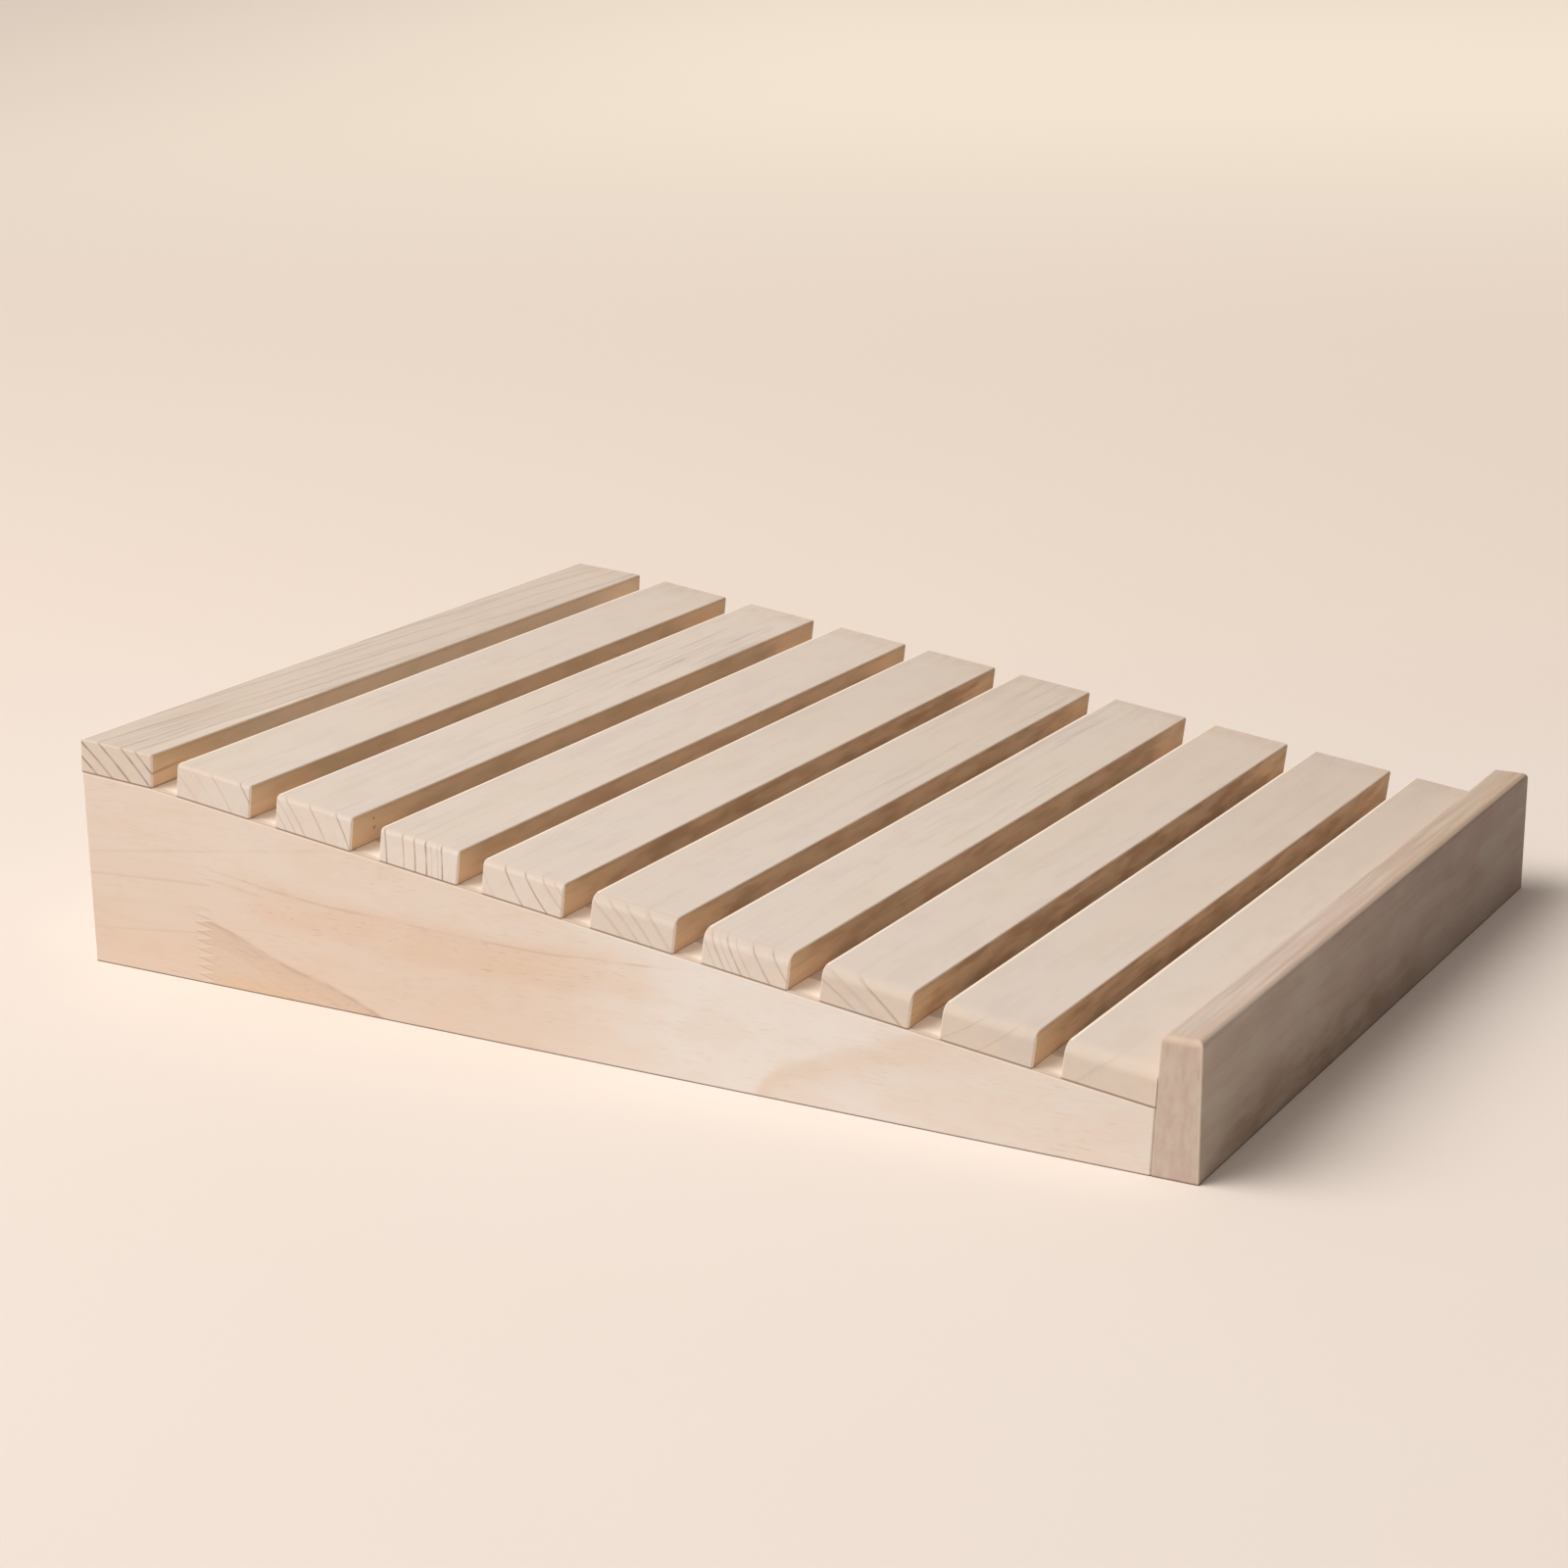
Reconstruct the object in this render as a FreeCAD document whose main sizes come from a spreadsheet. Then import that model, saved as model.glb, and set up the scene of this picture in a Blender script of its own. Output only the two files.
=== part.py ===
import FreeCAD, Part
import os
import re

import Sketcher

# A sloping bread rack in pine: ten slats lie across two wedge-shaped sides, and a lip closes the
# low front end. Frame: +Z up, slats along X, the lip at -Y, the high end at +Y, and the origin on
# the base, under the middle. The deck line is the sloping top edge of a side. The seat is its
# flatter last stretch, which carries slat_01. What is on both sides is drawn on the right, at +X.

DIMENSIONS = {
    # in millimetres, and slopes in degrees
    "rack_width": 460,
    "rack_depth": 600,  # from the lip's front face to the rear ends of the sides
    "rear_overhang": 2,  # of slat_01 past the foot of the sides' rear ends
    "rear_lean": 1.4,  # of the rear ends' tops behind their feet
    "deck_slope": 7,
    "seat_slope": 3.5,
    "side_thickness": 20,
    "side_front_height": 31.4,
    "lip_height": 64.5,
    "lip_foot": 22,  # thickness at the base
    "lip_crown": 19,  # thickness at the top
    "lip_nose": 3,  # round on the top edge of each end
    "lip_fit": 0.1,  # between the lip and the last slat
    "slat_count": 10,
    "slat_width": 45,
    "slat_thickness": 17,
    "slat_gap": 15.2,
    "slat_right_nose": 1.5,
    "arris": 0.9,  # easing of long edges
    "cleat_width": 25,
    "cleat_depth": 20,
    "cleat_set_back": 2,  # from the foot of the lip
    "rail_thickness": 12,
    "left_joint_from_rear": 71,
    "right_joint_from_rear": 290,
    "finger_pitch": 4.5,
    "finger_length": 10,
    "finger_tip": 0.9,
    "cutter_margin": 5,
    "slat_screw_length": 30,
    "slat_screw_shank": 3.5,
    "slat_screw_head": 7,
    "side_screw_count": 4,
    "side_screw_every": 2,  # in slat pitches
    "side_screw_length": 40,
    "side_screw_shank": 4,
    "side_screw_head": 8,
    "screw_point": 3,
    "recess_side": 2.3,
    "recess_depth": 1.5,
    "grip_play": 0.05,  # round a screw or dowel in the piece that it grips
    "pass_play": 0.25,  # round a screw in the piece that it passes through
    "end_room": 1,  # past the end of a screw or dowel
    "pilot_lead": 3,
    "lip_dowel": 6,
    "lip_dowel_length": 30,
    "lip_dowel_in_lip": 13,
    "lip_dowel_low": 9,
    "lip_dowel_high": 22,
    "rail_dowel": 6,
    "rail_dowel_length": 30,
    "rail_dowel_in_side": 14,
    "rail_dowel_low": 25,
    "rail_dowel_high": 70,
    "dowel_chamfer": 1,
}
SLATS = [f"slat_{number + 1:02d}" for number in range(DIMENSIONS["slat_count"])]
# The slats were laid by hand. For each: how far it lies down the deck from its even place, and
# the round on the top edge of its left end.
SLAT_SHIFTS = (0, 0, 0.5, 2, 0.5, 0.5, 0, 1, 1, -0.7)
SLAT_NOSES = (1, 2, 2.5, 2.5, 3, 5, 6, 5, 5, 6)
DIMENSIONS.update(zip([f"{slat}_shift" for slat in SLATS], SLAT_SHIFTS))
DIMENSIONS.update(zip([f"{slat}_nose" for slat in SLATS], SLAT_NOSES))

# Places that follow from the dimensions, as expressions.
FRONT = "(-(rack_depth + rear_overhang) / 2)"
REAR = "((rack_depth - rear_overhang) / 2)"
REAR_TOP = f"({REAR} + rear_lean)"
LIP_BACK = f"({FRONT} + lip_foot)"
DECK_FRONT = f"({LIP_BACK} - (lip_foot - lip_crown) * side_front_height / lip_height)"
SEAT_FRONT = f"({REAR} + rear_overhang - slat_width * cos(seat_slope))"
RAIL_FRONT = f"({REAR} - rail_thickness)"
RAIL_MIDDLE = f"({REAR} - rail_thickness / 2)"
SLAT_PITCH = "(slat_width + slat_gap)"
FIRST_SIDE_SCREW = f"({SLAT_PITCH} + slat_gap / 2)"
SIDE_SCREW_PITCH = f"(side_screw_every * {SLAT_PITCH})"
HALF_WIDTH = "(rack_width / 2)"
INSIDE = f"({HALF_WIDTH} - side_thickness)"
SIDE_MIDDLE = f"({HALF_WIDTH} - side_thickness / 2)"
CLEAT_INSIDE = f"({INSIDE} - cleat_width)"
CLEAT_MIDDLE = f"({INSIDE} - cleat_width / 2)"

# Heights of each joint's two dowels.
LIP_DOWELS = ("lip_dowel_low", "lip_dowel_high")
RAIL_DOWELS = ("rail_dowel_low", "rail_dowel_high")

# How many separate solids the pieces that are sets hold.
SOLIDS_IN_SET = {
    "slat_screws": "2 * slat_count",
    "cleat_screws": "2 * side_screw_count",
    "lip_dowels": "4",
    "rail_dowels": "4",
}

TOLERANCE = 1e-4
SOLVED = 0
# Keeps the axis of a rotation whose angle is bound to an expression.
ABOUT_X = FreeCAD.Placement(FreeCAD.Vector(), FreeCAD.Rotation(FreeCAD.Vector(1, 0, 0), 1))

doc = FreeCAD.newDocument("bread_rack")
sheet = doc.addObject("Spreadsheet::Sheet", "dimensions")


# Expressions and the dimension sheet


def fill_sheet():
    for row, (alias, number) in enumerate(DIMENSIONS.items(), start=1):
        sheet.set(f"A{row}", alias)
        sheet.set(f"B{row}", str(number))
        sheet.setAlias(f"B{row}", alias)
    doc.recompute()


def with_cells(expression):
    """The expression with each dimension's name turned into a reference to its cell."""
    return re.sub(
        "[a-z][a-z_0-9]*",
        lambda word: f"dimensions.{word[0]}" if word[0] in DIMENSIONS else word[0],
        expression,
    )


def value(expression):
    return float(sheet.evalExpression(with_cells(expression)))


def bind(thing, **properties):
    """Binds properties to expressions. A double underscore in a name stands for a dot."""
    for name, expression in properties.items():
        thing.setExpression(name.replace("__", "."), with_cells(expression))


def deck_height(y):
    return f"(side_front_height + ({y} - {DECK_FRONT}) * tan(deck_slope))"


def seat_height(y):
    return f"({deck_height(SEAT_FRONT)} + ({y} - {SEAT_FRONT}) * tan(seat_slope))"


def deck_y(down, depth="0"):
    """Y of the point that is so far down the deck line from the seat, and so deep under it."""
    return f"({SEAT_FRONT} - {down} * cos(deck_slope) + {depth} * sin(deck_slope))"


def deck_z(down, depth="0"):
    """Z of the same point."""
    return f"({deck_height(SEAT_FRONT)} - {down} * sin(deck_slope) - {depth} * cos(deck_slope))"


# Bodies and sketches


def new_body(label):
    body = doc.addObject("PartDesign::Body", label)
    body.Label = label
    return body


def origin_feature(body, role):
    return next(feature for feature in body.Origin.OriginFeatures if feature.Role == role)


def new_sketch(body, label, plane, across="0", up="0", out="0"):
    """A sketch parallel to one of its body's origin planes, moved across it, up it and out of it."""
    sketch = body.newObject("Sketcher::SketchObject", label)
    sketch.AttachmentSupport = [(origin_feature(body, plane), "")]
    sketch.MapMode = "FlatFace"
    bind(
        sketch,
        AttachmentOffset__Base__x=across,
        AttachmentOffset__Base__y=up,
        AttachmentOffset__Base__z=out,
    )
    return sketch


def tilt_sketch(sketch, angle):
    """Turns a sketch about its own H axis, which runs along X."""
    sketch.AttachmentOffset = ABOUT_X
    bind(sketch, AttachmentOffset__Rotation__Angle=angle)
    return sketch


def standing_on_deck(body, label, across, down, depth="0"):
    """A sketch whose V axis is square to the deck line and whose normal points down the slope."""
    out = f"-{deck_y(down, depth)}"
    sketch = new_sketch(body, label, "XZ_Plane", across, deck_z(down, depth), out)
    return tilt_sketch(sketch, "deck_slope")


def lying_on_deck(body, label, across, down, depth="0"):
    """A sketch parallel to the deck line, whose normal points out of the deck."""
    out = deck_z(down, depth)
    sketch = new_sketch(body, label, "XY_Plane", across, deck_y(down, depth), out)
    return tilt_sketch(sketch, "deck_slope")


def pin_point(sketch, geometry, point, across, up):
    """Holds a point at two expressions, measured from the sketch's origin."""
    for kind, axis, expression in (("DistanceX", -2, across), ("DistanceY", -1, up)):
        if expression == "0":
            sketch.addConstraint(Sketcher.Constraint("PointOnObject", geometry, point, axis))
            continue
        distance = Sketcher.Constraint(kind, -1, 1, geometry, point, value(expression))
        index = sketch.addConstraint(distance)
        sketch.setExpression(f"Constraints[{index}]", with_cells(expression))


def draw_polygon(sketch, corners):
    points = [FreeCAD.Vector(value(across), value(up), 0) for across, up in corners]
    for start, end in zip(points, points[1:] + points[:1]):
        sketch.addGeometry(Part.LineSegment(start, end), False)
    for line, (across, up) in enumerate(corners):
        following = (line + 1) % len(corners)
        sketch.addConstraint(Sketcher.Constraint("Coincident", line, 2, following, 1))
        pin_point(sketch, line, 1, across, up)


def draw_circle(sketch, across, up, diameter):
    centre = FreeCAD.Vector(value(across), value(up), 0)
    round_shape = Part.Circle(centre, FreeCAD.Vector(0, 0, 1), value(diameter) / 2)
    circle = sketch.addGeometry(round_shape, False)
    pin_point(sketch, circle, 3, across, up)
    size = Sketcher.Constraint("Diameter", circle, value(diameter))
    index = sketch.addConstraint(size)
    sketch.setExpression(f"Constraints[{index}]", with_cells(diameter))


# Features


def pad(body, sketch, length):
    feature = body.newObject("PartDesign::Pad", f"{sketch.Label}_pad")
    feature.Profile = sketch
    bind(feature, Length=length)
    return feature


def pocket(body, sketch, length, along_normal):
    feature = body.newObject("PartDesign::Pocket", f"{sketch.Label}_pocket")
    feature.Profile = sketch
    feature.Reversed = along_normal
    bind(feature, Length=length)
    return feature


def turn(body, sketch, axis, outline, kind):
    """Turns an outline of (along, radius) pairs about the sketch's H_Axis or V_Axis."""
    draw_polygon(sketch, outline if axis == "H_Axis" else [corner[::-1] for corner in outline])
    feature = body.newObject(f"PartDesign::{kind}", f"{sketch.Label}_turned")
    feature.Profile = sketch
    feature.ReferenceAxis = (sketch, [axis])
    feature.Angle = 360
    return feature


def new_row(body, label, direction, spacing, count):
    row = body.newObject("PartDesign::LinearPattern", f"{label}_row")
    row.Direction = direction
    row.Mode = "Spacing"
    bind(row, Offset=spacing, Occurrences=count)
    return row


def new_mirror(body, label):
    mirror = body.newObject("PartDesign::Mirrored", f"{label}_mirror")
    mirror.MirrorPlane = (origin_feature(body, "YZ_Plane"), [""])
    return mirror


def pattern(body, originals, *steps):
    """Sets a row or a mirror to work on features, or several of them one after the other."""
    if len(steps) == 1:
        steps[0].Originals = originals
        body.Tip = steps[0]
        return
    chain = body.newObject("PartDesign::MultiTransform", f"{body.Label}_pattern")
    chain.Originals = originals
    chain.Transformations = list(steps)
    body.Tip = chain


def fillet(body, base, radius, label, chosen):
    """Rounds the edges of base whose list of end points satisfies chosen."""
    doc.recompute()
    names = [
        f"Edge{number}"
        for number, edge in enumerate(base.Shape.Edges, start=1)
        if chosen([vertex.Point for vertex in edge.Vertexes])
    ]
    feature = body.newObject("PartDesign::Fillet", f"{body.Label}_{label}")
    feature.Base = (base, names)
    bind(feature, Radius=radius)
    return feature


def near(a, b):
    return abs(a - b) < TOLERANCE


def all_at(points, axis, place):
    return all(near(getattr(point, axis), place) for point in points)


def mirrored_copy(source, label):
    copy = doc.addObject("Part::Mirroring", label)
    copy.Label = label
    copy.Source = source
    copy.Normal = (1, 0, 0)
    return copy


# Outlines of turned pieces and of their holes


def countersunk(start, end, head, radius, point="0"):
    """A countersunk screw's half section, or its hole's, with a head cone of 45 degrees."""
    return [
        (start, "0"),
        (start, f"{head} / 2"),
        (f"{start} + {head} / 2 - {radius}", radius),
        (f"{end} - {point}", radius),
        (end, "0"),
    ]


def plain_hole(length, radius):
    return [("0", "0"), ("0", radius), (length, radius), (length, "0")]


def chamfered_rod(length, diameter):
    narrow = f"{diameter} / 2 - dowel_chamfer"
    return [
        ("0", "0"),
        ("0", narrow),
        ("dowel_chamfer", f"{diameter} / 2"),
        (f"{length} - dowel_chamfer", f"{diameter} / 2"),
        (length, narrow),
        (length, "0"),
    ]


def dowel_sockets(body, label, plane, across_list, heights, diameter, out):
    """A sketch of round sockets, one at each place across for each height."""
    sketch = new_sketch(body, label, plane, out=out)
    for across in across_list:
        for height in heights:
            draw_circle(sketch, across, height, f"{diameter} + 2 * grip_play")
    return sketch


# Sides


def make_side_blank():
    """A whole side: base, slanted end against the lip, deck line, seat and leaning rear end."""
    body = new_body("side_right_blank")
    sketch = new_sketch(body, "side_profile", "YZ_Plane", out=INSIDE)
    draw_polygon(
        sketch,
        [
            (LIP_BACK, "0"),
            (REAR, "0"),
            (REAR_TOP, seat_height(REAR_TOP)),
            (SEAT_FRONT, deck_height(SEAT_FRONT)),
            (DECK_FRONT, "side_front_height"),
        ],
    )
    board = pad(body, sketch, "side_thickness")
    outer = value(HALF_WIDTH)
    fillet(
        body,
        board,
        "arris",
        "arris",
        lambda ends: all_at(ends, "x", outer) and not all_at(ends, "z", 0),
    )
    add_screw_sockets(body)
    sockets = dowel_sockets(
        body, "side_rail_sockets", "YZ_Plane", [RAIL_MIDDLE], RAIL_DOWELS, "rail_dowel", INSIDE
    )
    pocket(body, sockets, "rail_dowel_in_side + end_room", along_normal=True)
    sockets = dowel_sockets(
        body, "side_lip_sockets", "XZ_Plane", [SIDE_MIDDLE], LIP_DOWELS, "lip_dowel", f"-{DECK_FRONT}"
    )
    in_side = "(lip_dowel_length - lip_dowel_in_lip + end_room)"
    pocket(body, sockets, f"{in_side} + {LIP_BACK} - {DECK_FRONT}", along_normal=False)
    return body


def add_screw_sockets(body):
    """Blind holes in the inner face, where the cleat's screws bite."""
    place = (INSIDE, FIRST_SIDE_SCREW, "cleat_depth / 2")
    sketch = standing_on_deck(body, "side_screw_sockets", *place)
    depth = "side_screw_length - cleat_width + end_room"
    socket = plain_hole(depth, "(side_screw_shank / 2 + grip_play)")
    cut = turn(body, sketch, "H_Axis", socket, "Groove")
    down = (sketch, ["N_Axis"])
    pattern(body, [cut], new_row(body, "side_screw_socket", down, SIDE_SCREW_PITCH, "side_screw_count"))


def make_joint_cutter(side):
    """Covers everything behind a side's finger joint, with a tapered finger at each pitch."""
    body = new_body(f"{side}_joint_cutter")
    out = f"-{HALF_WIDTH} - cutter_margin"
    span = "rack_width + 2 * cutter_margin"
    root = f"({REAR} - {side}_joint_from_rear + finger_length / 2)"
    tip = f"({root} - finger_length)"
    back = f"({REAR} + cutter_margin)"
    top = f"({seat_height(REAR)} + cutter_margin)"
    sketch = new_sketch(body, f"{side}_behind_joint", "YZ_Plane", out=out)
    corners = [(root, "-cutter_margin"), (back, "-cutter_margin"), (back, top), (root, top)]
    draw_polygon(sketch, corners)
    pad(body, sketch, span)
    sketch = new_sketch(body, f"{side}_finger", "YZ_Plane", out=out)
    corners = [
        (root, "finger_tip / 2"),
        (root, "finger_pitch - finger_tip / 2"),
        (tip, "(finger_pitch + finger_tip) / 2"),
        (tip, "(finger_pitch - finger_tip) / 2"),
    ]
    draw_polygon(sketch, corners)
    finger = pad(body, sketch, span)
    upwards = (origin_feature(body, "Z_Axis"), [""])
    count = f"floor({seat_height(REAR)} / finger_pitch) + 1"
    pattern(body, [finger], new_row(body, f"{side}_fingers", upwards, "finger_pitch", count))
    return body


def part_at_joint(side, blank):
    """The two glued lengths of a side: the main board and the block behind the finger joint."""
    cutter = make_joint_cutter(side)
    lengths = []
    for kind, name in (("Part::Cut", "board"), ("Part::Common", "rear_block")):
        label = f"side_{side}_{name}"
        length = doc.addObject(kind, label)
        length.Label = label
        length.Base = blank
        length.Tool = cutter
        lengths.append(length)
    return lengths


def make_sides():
    blank = make_side_blank()
    return part_at_joint("right", blank) + part_at_joint(
        "left", mirrored_copy(blank, "side_left_blank")
    )


# Cleats and rail


def make_cleats():
    """The strips inside the sides, flush with the deck line, drilled for both sets of screws."""
    body = new_body("cleat_right")
    front = f"({LIP_BACK} + cleat_set_back)"
    drop = "cleat_depth / cos(deck_slope)"
    sketch = new_sketch(body, "cleat_profile", "YZ_Plane", out=CLEAT_INSIDE)
    draw_polygon(
        sketch,
        [
            (front, f"{deck_height(front)} - {drop}"),
            (RAIL_FRONT, f"{deck_height(RAIL_FRONT)} - {drop}"),
            (RAIL_FRONT, seat_height(RAIL_FRONT)),
            (SEAT_FRONT, deck_height(SEAT_FRONT)),
            (front, deck_height(front)),
        ],
    )
    pad(body, sketch, "cleat_width")

    upright = standing_on_deck(body, "upright_hole", CLEAT_MIDDLE, "(-slat_width / 2)", "cleat_depth")
    radius = "(slat_screw_shank / 2 + pass_play)"
    outline = countersunk("0", "(cleat_depth + end_room)", "slat_screw_head", radius)
    cut = turn(body, upright, "V_Axis", outline, "Groove")
    down = (upright, ["N_Axis"])
    pattern(body, [cut], new_row(body, "upright_holes", down, SLAT_PITCH, "slat_count"))

    level = standing_on_deck(body, "level_hole", CLEAT_INSIDE, FIRST_SIDE_SCREW, "cleat_depth / 2")
    radius = "(side_screw_shank / 2 + pass_play)"
    outline = countersunk("0", "(cleat_width + end_room)", "side_screw_head", radius)
    cut = turn(body, level, "H_Axis", outline, "Groove")
    down = (level, ["N_Axis"])
    pattern(body, [cut], new_row(body, "level_holes", down, SIDE_SCREW_PITCH, "side_screw_count"))
    return [body, mirrored_copy(body, "cleat_left")]


def make_back_rail():
    """The board between the sides at the rear, its top bevelled to the seat."""
    body = new_body("back_rail")
    sketch = new_sketch(body, "rail_profile", "YZ_Plane", out=f"-{INSIDE}")
    draw_polygon(
        sketch,
        [
            (RAIL_FRONT, "0"),
            (REAR, "0"),
            (REAR_TOP, seat_height(REAR_TOP)),
            (RAIL_FRONT, seat_height(RAIL_FRONT)),
        ],
    )
    pad(body, sketch, f"2 * {INSIDE}")
    sockets = dowel_sockets(
        body, "rail_sockets", "YZ_Plane", [RAIL_MIDDLE], RAIL_DOWELS, "rail_dowel", INSIDE
    )
    depth = "rail_dowel_length - rail_dowel_in_side + end_room"
    holes = pocket(body, sockets, depth, along_normal=False)
    pattern(body, [holes], new_mirror(body, "rail_sockets"))
    return body


# Lip


def make_front_lip():
    """The board across the front: upright outside, leaning inside, its top edges eased."""
    body = new_body("front_lip")
    sketch = new_sketch(body, "lip_profile", "YZ_Plane", out=f"-{HALF_WIDTH}")
    draw_polygon(
        sketch,
        [
            (FRONT, "0"),
            (LIP_BACK, "0"),
            (f"{FRONT} + lip_crown", "lip_height"),
            (FRONT, "lip_height"),
        ],
    )
    board = pad(body, sketch, "rack_width")
    end, top, front, foot = (value(place) for place in (HALF_WIDTH, "lip_height", FRONT, LIP_BACK))
    lean = value("(lip_foot - lip_crown) / lip_height")

    def on_end_top(ends):
        return all(near(abs(point.x), end) and near(point.z, top) for point in ends)

    def on_face_edge(ends):
        on_back = all(near(point.y, foot - lean * point.z) for point in ends)
        return (on_back or all_at(ends, "y", front)) and not all_at(ends, "z", 0)

    board = fillet(body, board, "lip_nose", "nose", on_end_top)
    fillet(body, board, "arris", "arris", on_face_edge)
    places = [SIDE_MIDDLE, f"-{SIDE_MIDDLE}"]
    sockets = dowel_sockets(
        body, "lip_sockets", "XZ_Plane", places, LIP_DOWELS, "lip_dowel", f"-{LIP_BACK}"
    )
    pocket(body, sockets, "lip_dowel_in_lip + end_room", along_normal=True)
    return body


# Slats


def make_slat(label):
    """A slat, drawn flat: its lower front edge lies on X, and its top faces +Z."""
    body = new_body(label)
    first = label == SLATS[0]
    tilt = "seat_slope" if first else "deck_slope"
    down = f"({SLATS.index(label)} * {SLAT_PITCH} + {label}_shift)"
    body.Placement = ABOUT_X
    bind(
        body,
        Placement__Base__y=deck_y(down),
        Placement__Base__z=deck_z(down),
        Placement__Rotation__Angle=tilt,
    )
    sketch = new_sketch(body, f"{label}_outline", "XY_Plane")
    draw_polygon(
        sketch,
        [
            (f"-{HALF_WIDTH}", "0"),
            (HALF_WIDTH, "0"),
            (HALF_WIDTH, "slat_width"),
            (f"-{HALF_WIDTH}", "slat_width"),
        ],
    )
    strip = pad(body, sketch, "slat_thickness")
    end, top, rear = (value(size) for size in (HALF_WIDTH, "slat_thickness", "slat_width"))
    for nose, name, x in ((f"{label}_nose", "left_nose", -end), ("slat_right_nose", "right_nose", end)):
        strip = fillet(
            body, strip, nose, name, lambda ends: all_at(ends, "x", x) and all_at(ends, "z", top)
        )
    fillet(
        body,
        strip,
        "arris",
        "arris",
        lambda ends: (all_at(ends, "y", 0) or all_at(ends, "y", rear)) and not all_at(ends, "z", 0),
    )
    add_pilot_holes(body, label, tilt)
    return body


def add_pilot_holes(body, label, tilt):
    """Blind holes in the underside, square to the deck line like the screws that fill them."""
    lean = f"(deck_slope - {tilt})"
    up, out = f"pilot_lead * sin({lean})", f"-pilot_lead * cos({lean})"
    sketch = tilt_sketch(new_sketch(body, f"{label}_pilots", "XY_Plane", up=up, out=out), lean)
    diameter = "slat_screw_shank + 2 * grip_play"
    for across in (CLEAT_MIDDLE, f"-{CLEAT_MIDDLE}"):
        draw_circle(sketch, across, f"slat_width / 2 + {label}_shift", diameter)
    reach = "slat_screw_length - cleat_depth + pilot_lead + end_room"
    pocket(body, sketch, reach, along_normal=True)


def make_lip_room():
    """Covers the lip and a little play behind it."""
    body = new_body("lip_room")
    out = f"-{HALF_WIDTH} - cutter_margin"
    sketch = new_sketch(body, "lip_room_profile", "YZ_Plane", out=out)
    draw_polygon(
        sketch,
        [
            (FRONT, "0"),
            (f"{LIP_BACK} + lip_fit", "0"),
            (f"{FRONT} + lip_crown + lip_fit", "lip_height"),
            (FRONT, "lip_height"),
        ],
    )
    pad(body, sketch, "rack_width + 2 * cutter_margin")
    return body


def make_slats():
    """The slats in order. The last one's front edge is planed to lie against the lip."""
    slats = [make_slat(label) for label in SLATS]
    blank = slats.pop()
    blank.Label = "last_slat_blank"
    last = doc.addObject("Part::Cut", "last_slat")
    last.Label = SLATS[-1]
    last.Base = blank
    last.Tool = make_lip_room()
    return slats + [last]


# Screws and dowels


def make_slat_screws():
    """Screws up through the cleats into the slats, two to a slat."""
    body = new_body("slat_screws")
    place = (CLEAT_MIDDLE, "(-slat_width / 2)", "cleat_depth")
    sketch = standing_on_deck(body, "slat_screw_half", *place)
    outline = countersunk(
        "0", "slat_screw_length", "slat_screw_head", "(slat_screw_shank / 2)", "screw_point"
    )
    screw = turn(body, sketch, "V_Axis", outline, "Revolution")
    recess = lying_on_deck(body, "slat_screw_recess", *place)
    draw_recess(recess)
    recess = pocket(body, recess, "recess_depth", along_normal=True)
    row = new_row(body, "slat_screw", (sketch, ["N_Axis"]), SLAT_PITCH, "slat_count")
    pattern(body, [screw, recess], row, new_mirror(body, "slat_screw"))
    return body


def make_cleat_screws():
    """Screws outwards through the cleats into the sides."""
    body = new_body("cleat_screws")
    down, depth = FIRST_SIDE_SCREW, "cleat_depth / 2"
    sketch = standing_on_deck(body, "side_screw_half", CLEAT_INSIDE, down, depth)
    outline = countersunk(
        "0", "side_screw_length", "side_screw_head", "(side_screw_shank / 2)", "screw_point"
    )
    screw = turn(body, sketch, "H_Axis", outline, "Revolution")
    place = (deck_y(down, depth), deck_z(down, depth), CLEAT_INSIDE)
    recess = new_sketch(body, "side_screw_recess", "YZ_Plane", *place)
    draw_recess(recess)
    recess = pocket(body, recess, "recess_depth", along_normal=True)
    row = new_row(body, "side_screw", (sketch, ["N_Axis"]), SIDE_SCREW_PITCH, "side_screw_count")
    pattern(body, [screw, recess], row, new_mirror(body, "side_screw"))
    return body


def draw_recess(sketch):
    """A square drive recess about the sketch's origin."""
    half = "recess_side / 2"
    corners = [(f"-{half}", f"-{half}"), (half, f"-{half}"), (half, half), (f"-{half}", half)]
    draw_polygon(sketch, corners)


def make_dowels(label, plane, place, diameter, heights):
    """Two dowels, one above the other, and the same two on the other side."""
    body = new_body(label)
    low, high = heights
    across, out = place
    sketch = new_sketch(body, f"{diameter}_half", plane, across, low, out)
    outline = chamfered_rod(f"{diameter}_length", diameter)
    dowel = turn(body, sketch, "H_Axis", outline, "Revolution")
    upwards = (origin_feature(body, "Z_Axis"), [""])
    row = new_row(body, diameter, upwards, f"{high} - {low}", "2")
    pattern(body, [dowel], row, new_mirror(body, diameter))
    return body


# The whole rack


def check_objects():
    """Stops if an object failed, a sketch is loose or a cut removed nothing."""
    for thing in doc.Objects:
        if {"Invalid", "Error"} & set(thing.State):
            raise SystemExit(f"{thing.Label} failed: {thing.State}")
        if thing.TypeId == "Sketcher::SketchObject" and thing.solve() != SOLVED:
            raise SystemExit(f"{thing.Label} has no solution")
        if thing.TypeId in ("PartDesign::Pocket", "PartDesign::Groove"):
            if thing.BaseFeature.Shape.Volume - thing.Shape.Volume < TOLERANCE:
                raise SystemExit(f"{thing.Label} cuts nothing")


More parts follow.
